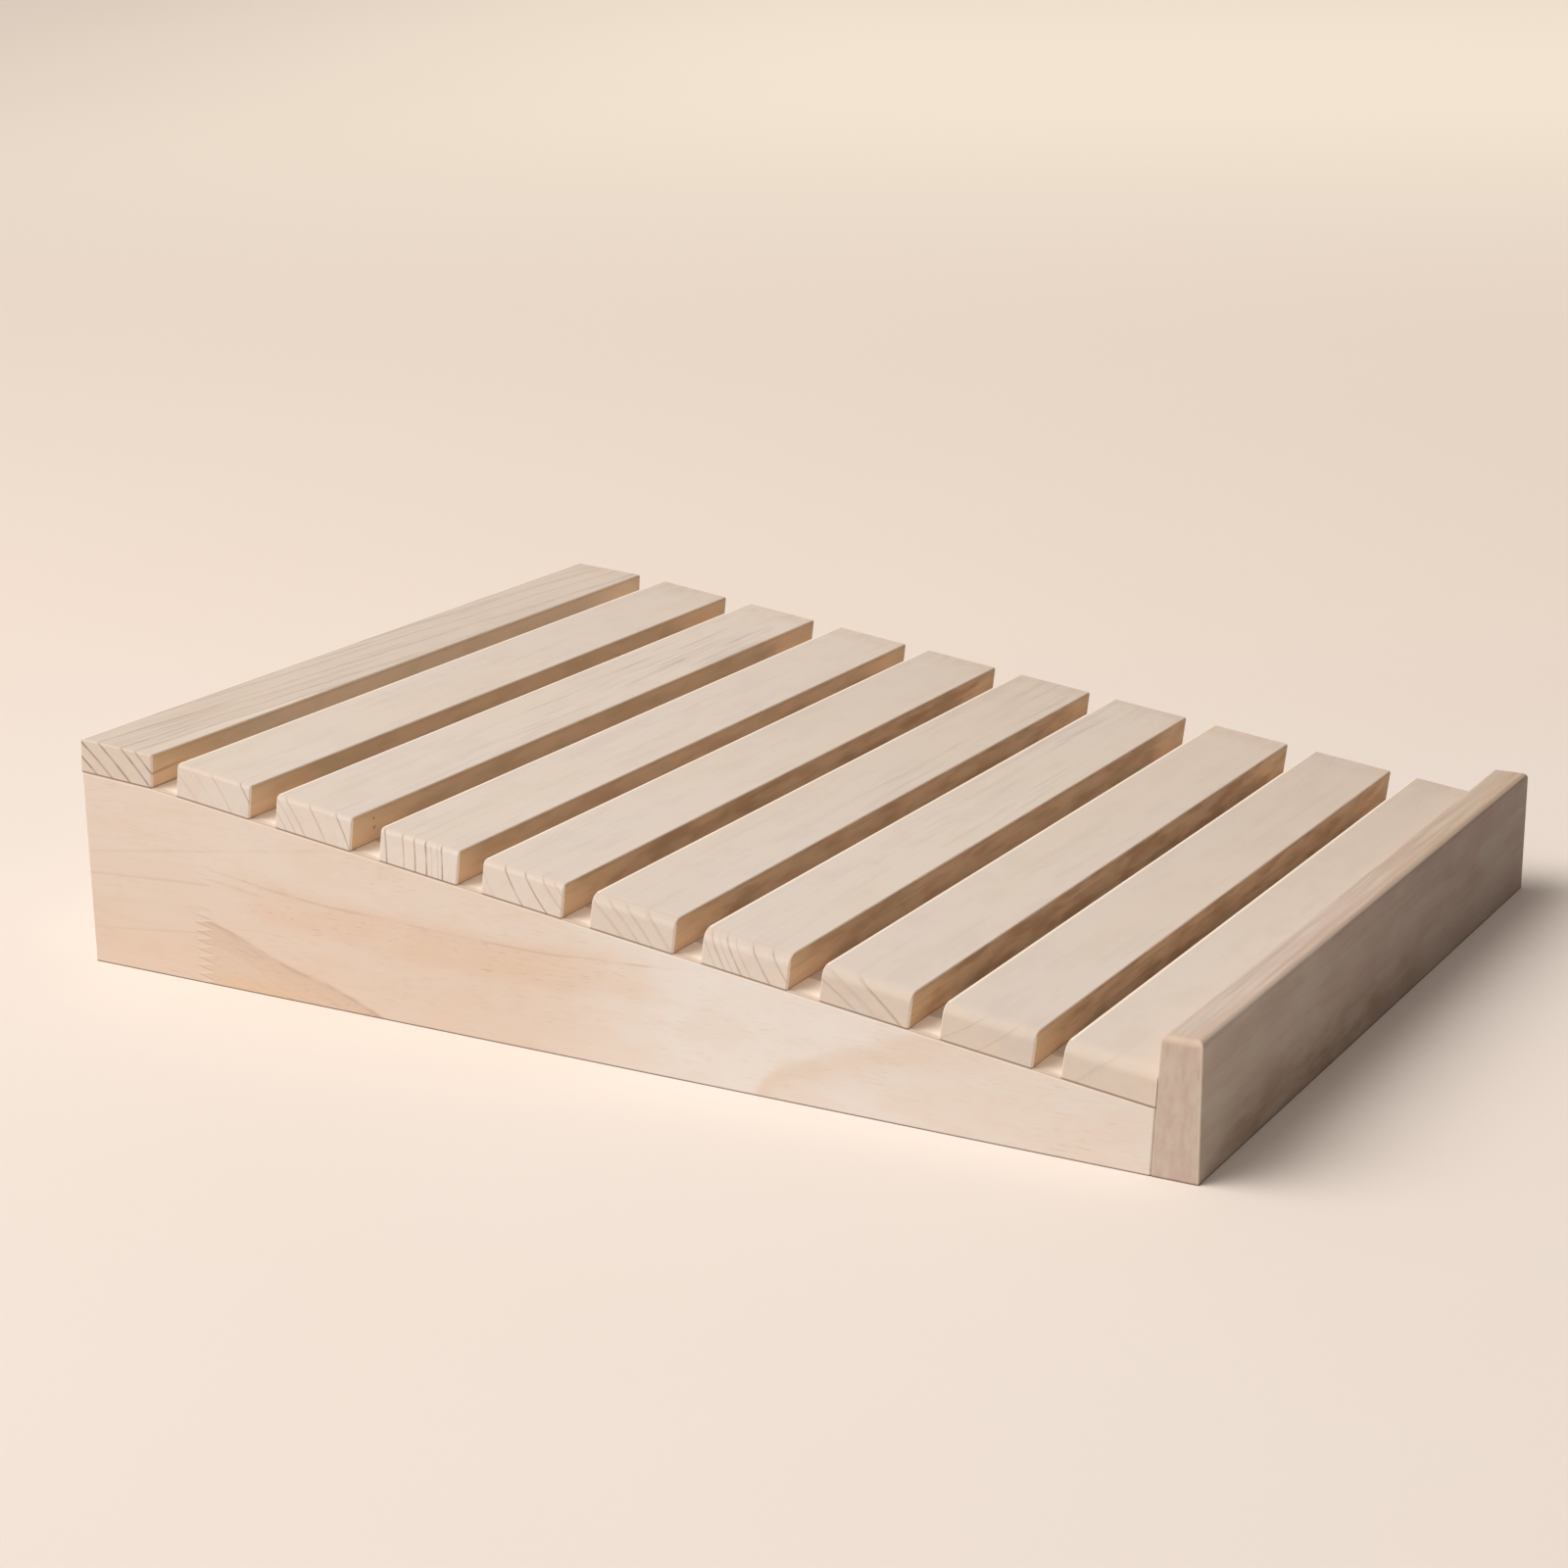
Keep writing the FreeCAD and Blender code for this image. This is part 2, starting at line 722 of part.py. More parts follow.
def write_parts(pieces):
    os.makedirs("parts", exist_ok=True)
    for piece in pieces:
        if piece.Shape.isNull() or not piece.Shape.isValid():
            raise SystemExit(f"{piece.Label} has no valid shape")
        if len(piece.Shape.Solids) != value(SOLIDS_IN_SET.get(piece.Label, "1")):
            raise SystemExit(f"{piece.Label} has a wrong number of solids")
        piece.Shape.exportStep(os.path.join("parts", f"{piece.Label}.step"))


def main():
    fill_sheet()
    lip_dowel_place = (f"{LIP_BACK} - lip_dowel_in_lip", SIDE_MIDDLE)
    rail_dowel_place = (f"{INSIDE} + rail_dowel_in_side - rail_dowel_length", f"-{RAIL_MIDDLE}")
    pieces = make_sides() + make_cleats() + make_slats()
    pieces += [
        make_back_rail(),
        make_front_lip(),
        make_slat_screws(),
        make_cleat_screws(),
        make_dowels("lip_dowels", "YZ_Plane", lip_dowel_place, "lip_dowel", LIP_DOWELS),
        make_dowels("rail_dowels", "XZ_Plane", rail_dowel_place, "rail_dowel", RAIL_DOWELS),
    ]
    doc.recompute()
    check_objects()
    write_parts(pieces)


main()
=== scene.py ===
"""Bakery bread rack: materials, floor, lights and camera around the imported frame.

Lengths on Blender objects are metres. Inside the materials they are millimetres.
"""

from dataclasses import dataclass
import math

import bpy
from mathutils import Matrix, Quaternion, Vector


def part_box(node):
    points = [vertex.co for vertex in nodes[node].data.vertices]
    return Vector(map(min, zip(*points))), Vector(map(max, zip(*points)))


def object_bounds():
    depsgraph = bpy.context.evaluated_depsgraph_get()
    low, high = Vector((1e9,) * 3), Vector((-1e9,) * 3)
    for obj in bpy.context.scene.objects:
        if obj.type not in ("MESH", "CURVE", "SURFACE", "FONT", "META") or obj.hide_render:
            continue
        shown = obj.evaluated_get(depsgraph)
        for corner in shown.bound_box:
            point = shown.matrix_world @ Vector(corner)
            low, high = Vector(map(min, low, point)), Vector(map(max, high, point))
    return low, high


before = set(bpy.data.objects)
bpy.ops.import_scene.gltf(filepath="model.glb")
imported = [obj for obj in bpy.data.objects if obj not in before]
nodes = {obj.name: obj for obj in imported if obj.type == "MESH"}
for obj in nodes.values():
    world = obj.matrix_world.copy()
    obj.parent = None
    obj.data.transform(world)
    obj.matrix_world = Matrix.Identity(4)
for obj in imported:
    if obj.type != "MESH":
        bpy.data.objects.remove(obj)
cad_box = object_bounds()

MM = 0.001

# ---------------------------------------------------------------- camera

CAMERA_PLACE = Vector((-1.4223, -0.7670, 0.5493))
CAMERA_TARGET = Vector((0.2145, 0.1466, 0.0))
CAMERA_ROLL = math.radians(-0.24)
CAMERA_LENS = 74.62
CAMERA_REACH = 200.0
SENSOR_WIDTH = 36.0

# ---------------------------------------------------------------- light

KEY_TOWARDS = Vector((-0.40, 0.50, 0.77))
KEY_SPREAD = math.radians(48)
LAMP_COLOUR = (1.0, 0.985, 0.965)
FAR_KEY_STRENGTH = 1.985
NEAR_KEY_DISTANCE = 2.5
NEAR_KEY_STRENGTH = 1.05
SKY_COLOUR = (1.0, 0.965, 0.93)
SKY_WARM = (1.0, 0.84, 0.70)
SKY_BRIGHT_SIDE = Vector((-0.75, 0.55, 0.40))
SKY_WEAK = 0.222
SKY_STRONG = 0.50
BACKDROP_LAMP_PLACE = Vector((6.2, 2.3, 4.0))
BACKDROP_LAMP_SIZE = 4.0
BACKDROP_LAMP_POWER = 11.0
UPWARDS = Vector((0.0, 0.0, 1.0))

# ---------------------------------------------------------------- floor

FLOOR_SIZE = 60.0

# The floor's painted light changes along these two directions.
FLOOR_AWAY = (0.873, 0.489, 0.0)
FLOOR_LEFTWARD = (-0.489, 0.873, 0.0)

# ---------------------------------------------------------------- places taken from the frame, mm

rack_low, rack_high = (corner / MM for corner in cad_box)
NEAR_END = rack_low.x
RACK_WIDTH = rack_high.x - rack_low.x
LIP_FACE = rack_low.y

# ---------------------------------------------------------------- values repeated from part.py, mm

SLAT_WIDTH = 45.0
LIP_HEIGHT = 64.5
DECK_LEAN = math.radians(7.0)
SEAT_LEAN = math.radians(3.5)
DECK_START = (-280.46, 31.4)
SEAT_START = (256.08, 97.28)
JOINT_MIDDLE = 228.0
JOINT_MOVED = 219.0
FINGER_PITCH = 4.5
FINGER_LENGTH = 10.0

# ---------------------------------------------------------------- lines of the sides' figure, mm

# Each is drawn through points (along, up), where along is 0 at the middle of the rack's depth.
UPPER_LINE = ((-120, 64), (-49, 54), (-26, 52), (0, 50.8), (26, 49), (66, 49.5), (93, 50.2),
              (119, 51.5), (156, 53), (183, 55), (207, 58), (235, 61))
LOWER_LINE = ((90, -18), (110, -6), (122, 0.5), (131, 4.5), (147, 10), (158, 13), (172, 15.5),
              (185, 19.5), (198, 24.5), (213, 29.5), (235, 34.5))
FRONT_LINE = ((-230, 60), (-161, 42.5), (-144, 36), (-129, 30.5), (-115, 24.5), (-96, 15),
              (-87, 4), (-80, -10))
LINES_LOW = -20.0
LINES_HIGH = 80.0

# The rear block's straight lines start at BLOCK_START, each with (height there, slope, darkness).
# The board carries the highest one on.
BLOCK_START = 231.0
TOP_LINE_HEIGHT = 68.3
BLOCK_LINES = ((TOP_LINE_HEIGHT, -0.14, 0.14), (51.5, -0.060, 0.18), (26.0, -0.114, 0.13))

# The wood's warmth falls off between these heights.
WARM_HEIGHTS = (10.0, 62.0)

# ---------------------------------------------------------------- roughness and relief

PINE_ROUGHNESS = (0.52, 0.68)
ZINC_ROUGHNESS = (0.28, 0.46)
PAPER_ROUGHNESS = (0.75, 0.85)
SPECULAR = 0.25
SAWN_RELIEF = 0.00003
PLANED_RELIEF = 0.00002
FINE_RELIEF = 0.00001
HOLLOW_DEPTH = 0.4

# ---------------------------------------------------------------- colours, linear

PINE_PALE = (0.72, 0.625, 0.545)
PINE_GREY = (0.47, 0.38, 0.32)
PINE_WARM = (0.74, 0.58, 0.44)
# Darker pine for the rear faces' veins, and painted shade along the tops and on the rounded edges
# above the ends.
PINE_DIM = (0.54, 0.42, 0.33)
PINE_END = (0.75, 0.67, 0.61)
PINE_END_WARM = (0.62, 0.525, 0.445)
PINE_REAR = (0.80, 0.70, 0.60)
# Pale wood for the figure, and painted highlights on edges.
PALE_WOOD_AND_HIGHLIGHT = (0.92, 0.82, 0.72)
# Painted highlights on edges, and painted light on the front of slat_01.
PAINTED_HIGHLIGHT = (1.0, 0.86, 0.70)
RING_BROWN = (0.24, 0.155, 0.105)
# The slats' fronts in the gaps, warmer and paler than the tops: painted bounce light.
GAP_BOUNCE_TINT = (0.83, 0.575, 0.375)
GAP_OLIVE = (0.46, 0.38, 0.20)
# Painted shade on the slats' fronts in the gaps, and the browned far ends.
GAP_SHADE_AND_SMUDGE = (0.52, 0.31, 0.18)
# The ledge as painted light: painted shade at its outer edge, painted light inwards where the slats'
# shadow falls.
LEDGE_SHADED_OUTER = (0.69, 0.555, 0.45)
LEDGE_LIT_INNER = (0.99, 0.86, 0.74)
SIDE_PALE = (0.728, 0.612, 0.522)
SIDE_PEACH = (0.71, 0.495, 0.335)
SIDE_PINK = (0.79, 0.74, 0.695)
SIDE_TAN = (0.62, 0.45, 0.33)
SIDE_PATCH = (0.67, 0.48, 0.34)
SIDE_ORANGE = (0.74, 0.48, 0.27)
# Dark growth lines and joints, and painted shade along the sides' top edge.
SIDE_LINE = (0.40, 0.25, 0.15)
# Painted contact shadow under the slats.
SLAT_CONTACT_SHADOW = (0.27, 0.16, 0.10)
LIP_PALE = (0.64, 0.54, 0.46)
LIP_PINK = (0.60, 0.46, 0.40)
# The lip's dark grain, and painted shade low on its front.
LIP_DARK = (0.36, 0.24, 0.16)
LIP_TAN = (0.62, 0.46, 0.36)
# Painted shade that the lip's front and top are multiplied by.
LIP_FACE_SHADE_NEAR = (0.78, 0.79, 0.78)
LIP_FACE_SHADE_FAR = (0.565, 0.54, 0.54)
LIP_TOP_SHADE_FAR = (0.90, 0.87, 0.79)
# Painted contact shadow at the foot of the sides and the lip.
FOOT_CONTACT_SHADOW = (0.16, 0.10, 0.07)
BEECH_PALE = (0.62, 0.42, 0.27)
BEECH_DARK = (0.46, 0.28, 0.16)
ZINC_PALE = (0.62, 0.60, 0.56)
ZINC_DARK = (0.42, 0.41, 0.40)
# The floor's colours hold painted light: much paler far away, darker at the far left corner.
FLOOR_NEAR = (0.785, 0.70, 0.635)
FLOOR_MIDDLE = (0.805, 0.69, 0.605)
FLOOR_FAR = (0.98, 0.87, 0.74)
FLOOR_CORNER = (0.80, 0.69, 0.60)


class Graph:
    """The nodes of one material or world, built with short calls.

    Every value is a number or a socket, and a share is a value from 0 to 1.
    """

    def __init__(self, owner, shader="Principled BSDF"):
        owner.use_nodes = True
        self.owner = owner
        self.tree = owner.node_tree
        self.shader = self.tree.nodes[shader]

    def node(self, kind, **settings):
        made = self.tree.nodes.new(kind)
        for key, value in settings.items():
            setattr(made, key, value)
        return made

    def put(self, socket, value):
        if isinstance(value, bpy.types.NodeSocket):
            self.tree.links.new(value, socket)
        elif socket.type == "RGBA":
            socket.default_value = (*value, 1.0)
        else:
            socket.default_value = value

    def math(self, operation, *values):
        made = self.node("ShaderNodeMath", operation=operation)
        for socket, value in zip(made.inputs, values):
            self.put(socket, value)
        return made.outputs[0]

    def add(self, first, *others):
        for other in others:
            first = self.math("ADD", first, other)
        return first

    def subtract(self, a, b):
        return self.math("SUBTRACT", a, b)

    def multiply(self, first, *others):
        for other in others:
            first = self.math("MULTIPLY", first, other)
        return first

    def highest(self, first, *others):
        for other in others:
            first = self.math("MAXIMUM", first, other)
        return first

    def absolute(self, value):
        return self.math("ABSOLUTE", value)

    def vector_math(self, operation, *values):
        made = self.node("ShaderNodeVectorMath", operation=operation)
        for socket, value in zip(made.inputs, values):
            self.put(socket, value)
        return made.outputs["Value" if operation in ("LENGTH", "DOT_PRODUCT") else "Vector"]

    def split(self, vector):
        made = self.node("ShaderNodeSeparateXYZ")
        self.put(made.inputs[0], vector)
        return made.outputs

    def join(self, x, y, z):
        made = self.node("ShaderNodeCombineXYZ")
        for socket, value in zip(made.inputs, (x, y, z)):
            self.put(socket, value)
        return made.outputs[0]

    def share_between(self, value, low, high):
        """0 where the value is low, 1 where it is high, and even steps between them."""
        return self.math("DIVIDE", self.subtract(value, low), high - low)

    def fade(self, value, low, high, start=0.0, end=1.0):
        """start below low, end above high, and a smooth change between them."""
        made = self.node("ShaderNodeMapRange", interpolation_type="SMOOTHSTEP")
        for socket, number in zip(made.inputs, (value, low, high, start, end)):
            self.put(socket, number)
        return made.outputs[0]

    def fall(self, value, low, high):
        """1 below low, 0 above high, and a smooth change between them."""
        return self.fade(value, low, high, 1.0, 0.0)

    def rest_of(self, share):
        """1 where the share is 0, and 0 where it is 1."""
        return self.fall(share, 0.0, 1.0)

    def line(self, distance, half_width):
        """1 where the distance is nought, down to 0 at half_width on either side."""
        return self.fall(self.absolute(distance), 0.0, half_width)

    def span(self, value, low, high, soft):
        """1 between low and high, with soft ends outside them."""
        return self.multiply(self.fade(value, low - soft, low), self.fall(value, high, high + soft))

    def noise(self, vector, lengths, detail, rough, seed):
        """Noise from 0 to 1 with features about lengths long. Another seed gives another noise."""
        made = self.node("ShaderNodeTexNoise", noise_dimensions="4D")
        self.put(made.inputs["Vector"], self.vector_math("DIVIDE", vector, lengths))
        self.put(made.inputs["W"], seed)
        self.put(made.inputs["Scale"], 1.0)
        self.put(made.inputs["Detail"], detail)
        self.put(made.inputs["Roughness"], rough)
        return made.outputs[0]

    def swing(self, share, size):
        """The share's distance from its middle, times size: it runs from -size / 2 to size / 2."""
        return self.multiply(self.subtract(share, 0.5), size)

    def ramp(self, value, stops):
        """A grey ramp; stops are (place, brightness) in rising order."""
        made = self.node("ShaderNodeValToRGB")
        points = made.color_ramp.elements
        while len(points) < len(stops):
            points.new(0.5)
        for point, (place, level) in zip(points, stops):
            point.position = place
            point.color = (level, level, level, 1.0)
        self.put(made.inputs[0], value)
        return made.outputs[0]

    def curve(self, value, points, floor, ceiling):
        """A smooth line drawn through points, which are (place, height) in rising places."""
        low, high = points[0][0], points[-1][0]
        made = self.node("ShaderNodeFloatCurve")
        track = made.mapping.curves[0]
        placed = [((x - low) / (high - low), (y - floor) / (ceiling - floor)) for x, y in points]
        for point, spot in zip(track.points, (placed[0], placed[-1])):
            point.location = spot
        for spot in placed[1:-1]:
            track.points.new(*spot)
        made.mapping.update()
        self.put(made.inputs["Value"], self.share_between(value, low, high))
        return self.add(self.multiply(made.outputs[0], ceiling - floor), floor)

    def blend(self, share, first, second, kind="MIX"):
        made = self.node("ShaderNodeMix", data_type="RGBA", blend_type=kind)
        colours = [socket for socket in made.inputs if socket.type == "RGBA"]
        self.put(made.inputs[0], share)
        self.put(colours[0], first)
        self.put(colours[1], second)
        return [socket for socket in made.outputs if socket.type == "RGBA"][0]

    def tint(self, colour, tone, *shares, kind="MIX"):
        """The colour, taken towards the tone by the product of the shares."""
        return self.blend(self.multiply(*shares), colour, tone, kind)


# ---------------------------------------------------------------- what every wood has


class Surface(Graph):
    """The material of one piece. point is a place in the row frame in mm, and facing a direction."""

    def __init__(self, name):
        super().__init__(bpy.data.materials.new(name))
        texture = self.node("ShaderNodeTexCoord")
        self.point = self.vector_math("SCALE", texture.outputs["Object"])
        self.point.node.inputs["Scale"].default_value = 1 / MM
        self.facing = texture.outputs["Normal"]


def turned(g, vector, lean):
    """The vector seen from axes that lean back with the deck."""
    made = g.node("ShaderNodeVectorRotate", rotation_type="X_AXIS")
    g.put(made.inputs["Vector"], vector)
    g.put(made.inputs["Angle"], -lean)
    return made.outputs[0]


def arris_highlight_share(g, facing):
    """1 on the narrow rounded edges, where the surface faces no main direction: where painted
    highlights go.
    """
    return g.fall(g.highest(*(g.absolute(part) for part in g.split(facing))), 0.80, 0.985)


def dress(g, colour, height, roughness=PINE_ROUGHNESS, relief=SAWN_RELIEF):
    """Sends colour, roughness and bump to the shader. height is a share, and relief is in metres."""
    smoothest, roughest = roughness
    g.put(g.shader.inputs["Base Color"], colour)
    g.put(g.shader.inputs["Roughness"], g.fade(height, 0.2, 0.8, roughest, smoothest))
    g.shader.inputs["Specular IOR Level"].default_value = SPECULAR
    bump = g.node("ShaderNodeBump")
    bump.inputs["Strength"].default_value = 1.0
    bump.inputs["Distance"].default_value = relief
    g.put(bump.inputs["Height"], height)
    g.put(g.shader.inputs["Normal"], bump.outputs[0])
    return g.owner


def hollowed(g, streaks, hollows):
    """The surface's height: its streaks, with hollows in them."""
    return g.subtract(streaks, g.multiply(hollows, HOLLOW_DEPTH))


def fibres(g, grain, seed, fine_share=0.5):
    """Fine and wide streaks along the first axis of grain, from 0 to 1."""
    fine = g.noise(grain, (38.0, 0.7, 0.7), 3.0, 0.6, seed)
    wide = g.noise(grain, (90.0, 5.0, 5.0), 2.0, 0.5, seed + 7.0)
    return g.add(g.multiply(fine, fine_share), g.multiply(wide, 1.0 - fine_share))


def pores(g, grain, seed):
    """Small dark flecks a few millimetres long, 0 or 1 with soft ends."""
    spots = g.noise(grain, (7.0, 0.6, 0.6), 1.0, 0.5, seed + 3.0)
    patches = g.noise(grain, (60.0, 12.0, 12.0), 1.0, 0.5, seed + 5.0)
    return g.multiply(g.fade(spots, 0.68, 0.76), g.fade(patches, 0.45, 0.62))


def threads(g, grain, lengths, seed, half_width=0.05):
    """Thin winding lines that keep to the grain: where a smooth noise passes its middle."""
    return g.line(g.subtract(g.noise(grain, lengths, 1.0, 0.4, seed), 0.5), half_width)


def contact_shadow(g, up, height=1.1):
    """1 in the thin painted contact shadow where a piece stands on something."""
    return g.fall(up, 0.25 * height, height)


# ---------------------------------------------------------------- slats


@dataclass
class SlatLook:
    """How the wood of one slat looks, with lengths in mm."""

    # The rings' centre: how far in front of the slat's rear edge, and above its underside.
    pith: tuple
    # Each growth line is (radius, width, darkness).
    rings: tuple
    # How far the figure moves towards the front edge over the slat's length.
    drift: float
    # How clearly the figure shows on the top, towards the near and the far end.
    lines: tuple
    # How far apart the figure's lines lie.
    spacing: float
    # How much painted shade darkens the top, towards the near and the far end.
    top_falloff_shade: tuple
    # How warm and dark the sawn ends are.
    end_warmth: float
    # How much painted shade darkens the front in the gap.
    gap_shade: float
    # How much of the growth lines is carried on from the near end to the top and the front.
    carried: float = 0.1
    # How much paler the front is past the near end, as painted light.
    front_painted_light: float = 0.0
    # The radius outside which the top is paler.
    pale_beyond: float = 1000.0
    # Small knots on the front: (x, above its underside, radius).
    knots: tuple = ()
    # How much painted shade darkens the rounded edge above the near end.
    nose_shade: float = 0.48


SLATS = {
    "slat_01": SlatLook(
        pith=(-138, -184), drift=30, lines=(1.0, 0.85), spacing=3.2, top_falloff_shade=(0.40, 0.40),
        end_warmth=0.8, gap_shade=0.08, carried=0.6, front_painted_light=0.30, pale_beyond=265.5,
        rings=((236.8, 0.9, 1.0), (243.0, 1.0, 1.0), (250.5, 1.0, 1.0), (259.2, 1.0, 1.0),
               (264.9, 0.9, 1.0))),
    "slat_02": SlatLook(
        pith=(-48, -56), drift=4, lines=(0.20, 0.20), spacing=5.0, top_falloff_shade=(0.03, 0.20),
        end_warmth=0.3, gap_shade=0.35,
        rings=((83.5, 0.7, 0.25), (92.0, 0.7, 0.15), (100.0, 0.7, 0.35), (113.0, 0.7, 0.9))),
    "slat_03": SlatLook(
        pith=(-73, -60), drift=-3, lines=(0.35, 1.0), spacing=3.6, top_falloff_shade=(0.02, 0.10),
        end_warmth=0.2, gap_shade=0.4, knots=((-212.2, 12.3, 1.0), (-211.2, 7.3, 1.3)),
        rings=((96.0, 0.7, 0.3), (100.5, 0.7, 0.35), (105.0, 0.7, 0.3), (109.5, 0.7, 0.45),
               (120.0, 0.7, 0.5), (132.5, 0.7, 0.8))),
    "slat_04": SlatLook(
        pith=(-128, -12), drift=2, lines=(0.15, 0.28), spacing=5.5, top_falloff_shade=(0.0, 0.16),
        end_warmth=0.0, gap_shade=0.6,
        rings=((133.5, 0.8, 0.9), (143.5, 0.7, 0.7), (150.0, 0.7, 0.9), (156.5, 0.8, 0.95),
               (159.5, 0.5, 0.3), (163.0, 0.5, 0.4), (165.5, 0.8, 0.9))),
    "slat_05": SlatLook(
        pith=(87, 58), drift=3, lines=(0.18, 0.20), spacing=6.0, top_falloff_shade=(0.0, 0.28),
        end_warmth=0.2, gap_shade=1.0,
        rings=((63.5, 0.6, 0.3), (68.5, 0.6, 0.55), (76.5, 0.6, 0.9), (86.0, 0.6, 0.95),
               (98.5, 0.6, 0.25))),
    "slat_06": SlatLook(
        pith=(-62, -86), drift=3, lines=(0.15, 0.55), spacing=4.4, top_falloff_shade=(0.04, 0.33),
        end_warmth=0.5, gap_shade=0.9,
        rings=((118.0, 1.6, 0.22), (124.0, 1.0, 0.30), (129.5, 0.8, 0.34), (137.0, 1.8, 0.22))),
    "slat_07": SlatLook(
        pith=(130, 82), drift=2, lines=(0.15, 0.55), spacing=4.4, top_falloff_shade=(0.0, 0.22),
        end_warmth=0.3, gap_shade=0.85,
        rings=((116.0, 0.8, 0.62), (124.5, 0.8, 0.58), (132.0, 0.6, 0.32), (136.0, 0.7, 0.60),
               (139.5, 0.6, 0.32), (143.0, 0.7, 0.60), (147.0, 0.6, 0.32))),
    "slat_08": SlatLook(
        pith=(-68, -136), drift=2, lines=(0.12, 0.20), spacing=6.0, top_falloff_shade=(0.05, 0.28),
        end_warmth=0.8, gap_shade=1.1, nose_shade=0.28,
        rings=((162.0, 1.0, 0.35), (168.0, 2.0, 0.2), (175.0, 1.2, 0.5))),
    "slat_09": SlatLook(
        pith=(-75, 116), drift=3, lines=(0.12, 0.22), spacing=6.0, top_falloff_shade=(0.08, 0.40),
        end_warmth=0.8, gap_shade=1.0, nose_shade=0.28,
        rings=((138.0, 0.8, 0.2), (149.0, 0.8, 0.22))),
    "slat_10": SlatLook(
        pith=(160, -139), drift=2, lines=(0.12, 0.18), spacing=6.0, top_falloff_shade=(0.08, 0.46),
        end_warmth=0.75, gap_shade=0.9, nose_shade=0.25,
        rings=((207.0, 1.4, 0.15),)),
}
RINGS_REACH = 12.0
AT_FAR_END = (425.0, 455.0)


class SlatSurface(Surface):
    """A slat's material, with the places and directions that its tones depend on.

    x runs along the slat, back is 0 at its rear edge and falls forwards, and up is 0 at its underside.
    """

    def __init__(self, name, look):
        super().__init__("pine_" + name)
        self.look = look
        self.seed = 10.0 * int(name[-2:])
        lean = SEAT_LEAN if name == "slat_01" else DECK_LEAN
        low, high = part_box(name)
        rear = (0.0, high.y / MM, low.z / MM + SLAT_WIDTH * math.sin(lean))
        self.local = turned(self, self.vector_math("SUBTRACT", self.point, rear), lean)
        self.x, self.back, self.up = self.split(self.local)
        self.from_near_end = self.subtract(self.x, NEAR_END)
        self.facing = turned(self, self.facing, lean)
        facing_x, self.facing_y, facing_z = self.split(self.facing)
        self.sideways = self.absolute(facing_x)
        self.on_end = self.fade(self.sideways, 0.02, 0.85)
        self.on_top = self.fade(facing_z, 0.9, 0.99)
        self.on_front = self.fall(self.facing_y, -0.85, -0.5)
        self.follow_grain()

    def follow_grain(self):
        """Sets the distance from the pith, and grain coordinates that drift and wander."""
        bends = self.swing(self.noise(self.local, (120.0, 30.0, 30.0), 1.5, 0.5, self.seed), 9.0)
        ripples = self.noise(self.local, (26.0, 12.0, 12.0), 1.0, 0.5, self.seed + 11.0)
        wander = self.multiply(self.add(bends, self.swing(ripples, 2.2)),
                               self.fade(self.from_near_end, 0.0, 60.0))
        drifted = self.multiply(self.from_near_end, self.look.drift / RACK_WIDTH)
        across = self.add(self.back, self.add(drifted, wander))
        pith_across, pith_up = self.look.pith
        from_pith = self.join(0.0, self.add(across, pith_across), self.subtract(self.up, pith_up))
        self.radius = self.vector_math("LENGTH", from_pith)
        self.grain = self.join(self.x, across, self.up)


def ring_lines(g):
    """The slat's growth lines at their radii, soft towards the pith."""
    radii = [ring[0] for ring in g.look.rings]
    low = min(radii) - RINGS_REACH
    high = max(radii) + RINGS_REACH
    levels = [(low, 0.0)]
    for radius, width, darkness in g.look.rings:
        levels += [(radius - 1.2 * width, 0.0), (radius, darkness), (radius + 0.5 * width, 0.0)]
    stops = [((place - low) / (high - low), level) for place, level in levels]
    return g.ramp(g.share_between(g.radius, low, high), stops)


def slat_figure(g):
    """The growth lines along the top: thin threads and softer bands, in patches."""
    spacing = g.look.spacing
    thin = threads(g, g.grain, (170.0, spacing, 3 * spacing), g.seed + 1.0, 0.07)
    bands = g.fade(g.noise(g.grain, (120.0, 0.9 * spacing, 20.0), 1.5, 0.5, g.seed + 6.0), 0.48, 0.72)
    patch = g.fade(g.noise(g.local, (110.0, 12.0, 12.0), 1.0, 0.5, g.seed + 2.0), 0.30, 0.60)
    clear = g.fade(g.from_near_end, 60.0, 280.0, *g.look.lines)
    return g.multiply(g.add(g.multiply(thin, 0.30), g.multiply(bands, 0.58)), patch, clear)


def slat_darkness(g, streaks, flecks):
    """How much darker than its plain tone the wood is; below 0 it counts as 0."""
    mottle = g.noise(g.local, (36.0, 11.0, 11.0), 3.0, 0.6, g.seed + 3.0)
    specks = g.fade(g.noise(g.local, (2.6, 1.3, 1.3), 1.0, 0.5, g.seed + 15.0), 0.66, 0.74)
    dark = g.add(g.multiply(slat_figure(g), g.rest_of(g.on_end)),
                 g.swing(streaks, 0.24),
                 g.multiply(g.fade(mottle, 0.36, 0.64, -0.5, 0.5), 0.17),
                 g.multiply(specks, 0.20),
                 g.multiply(flecks, 0.26))
    return g.highest(dark, 0.0)


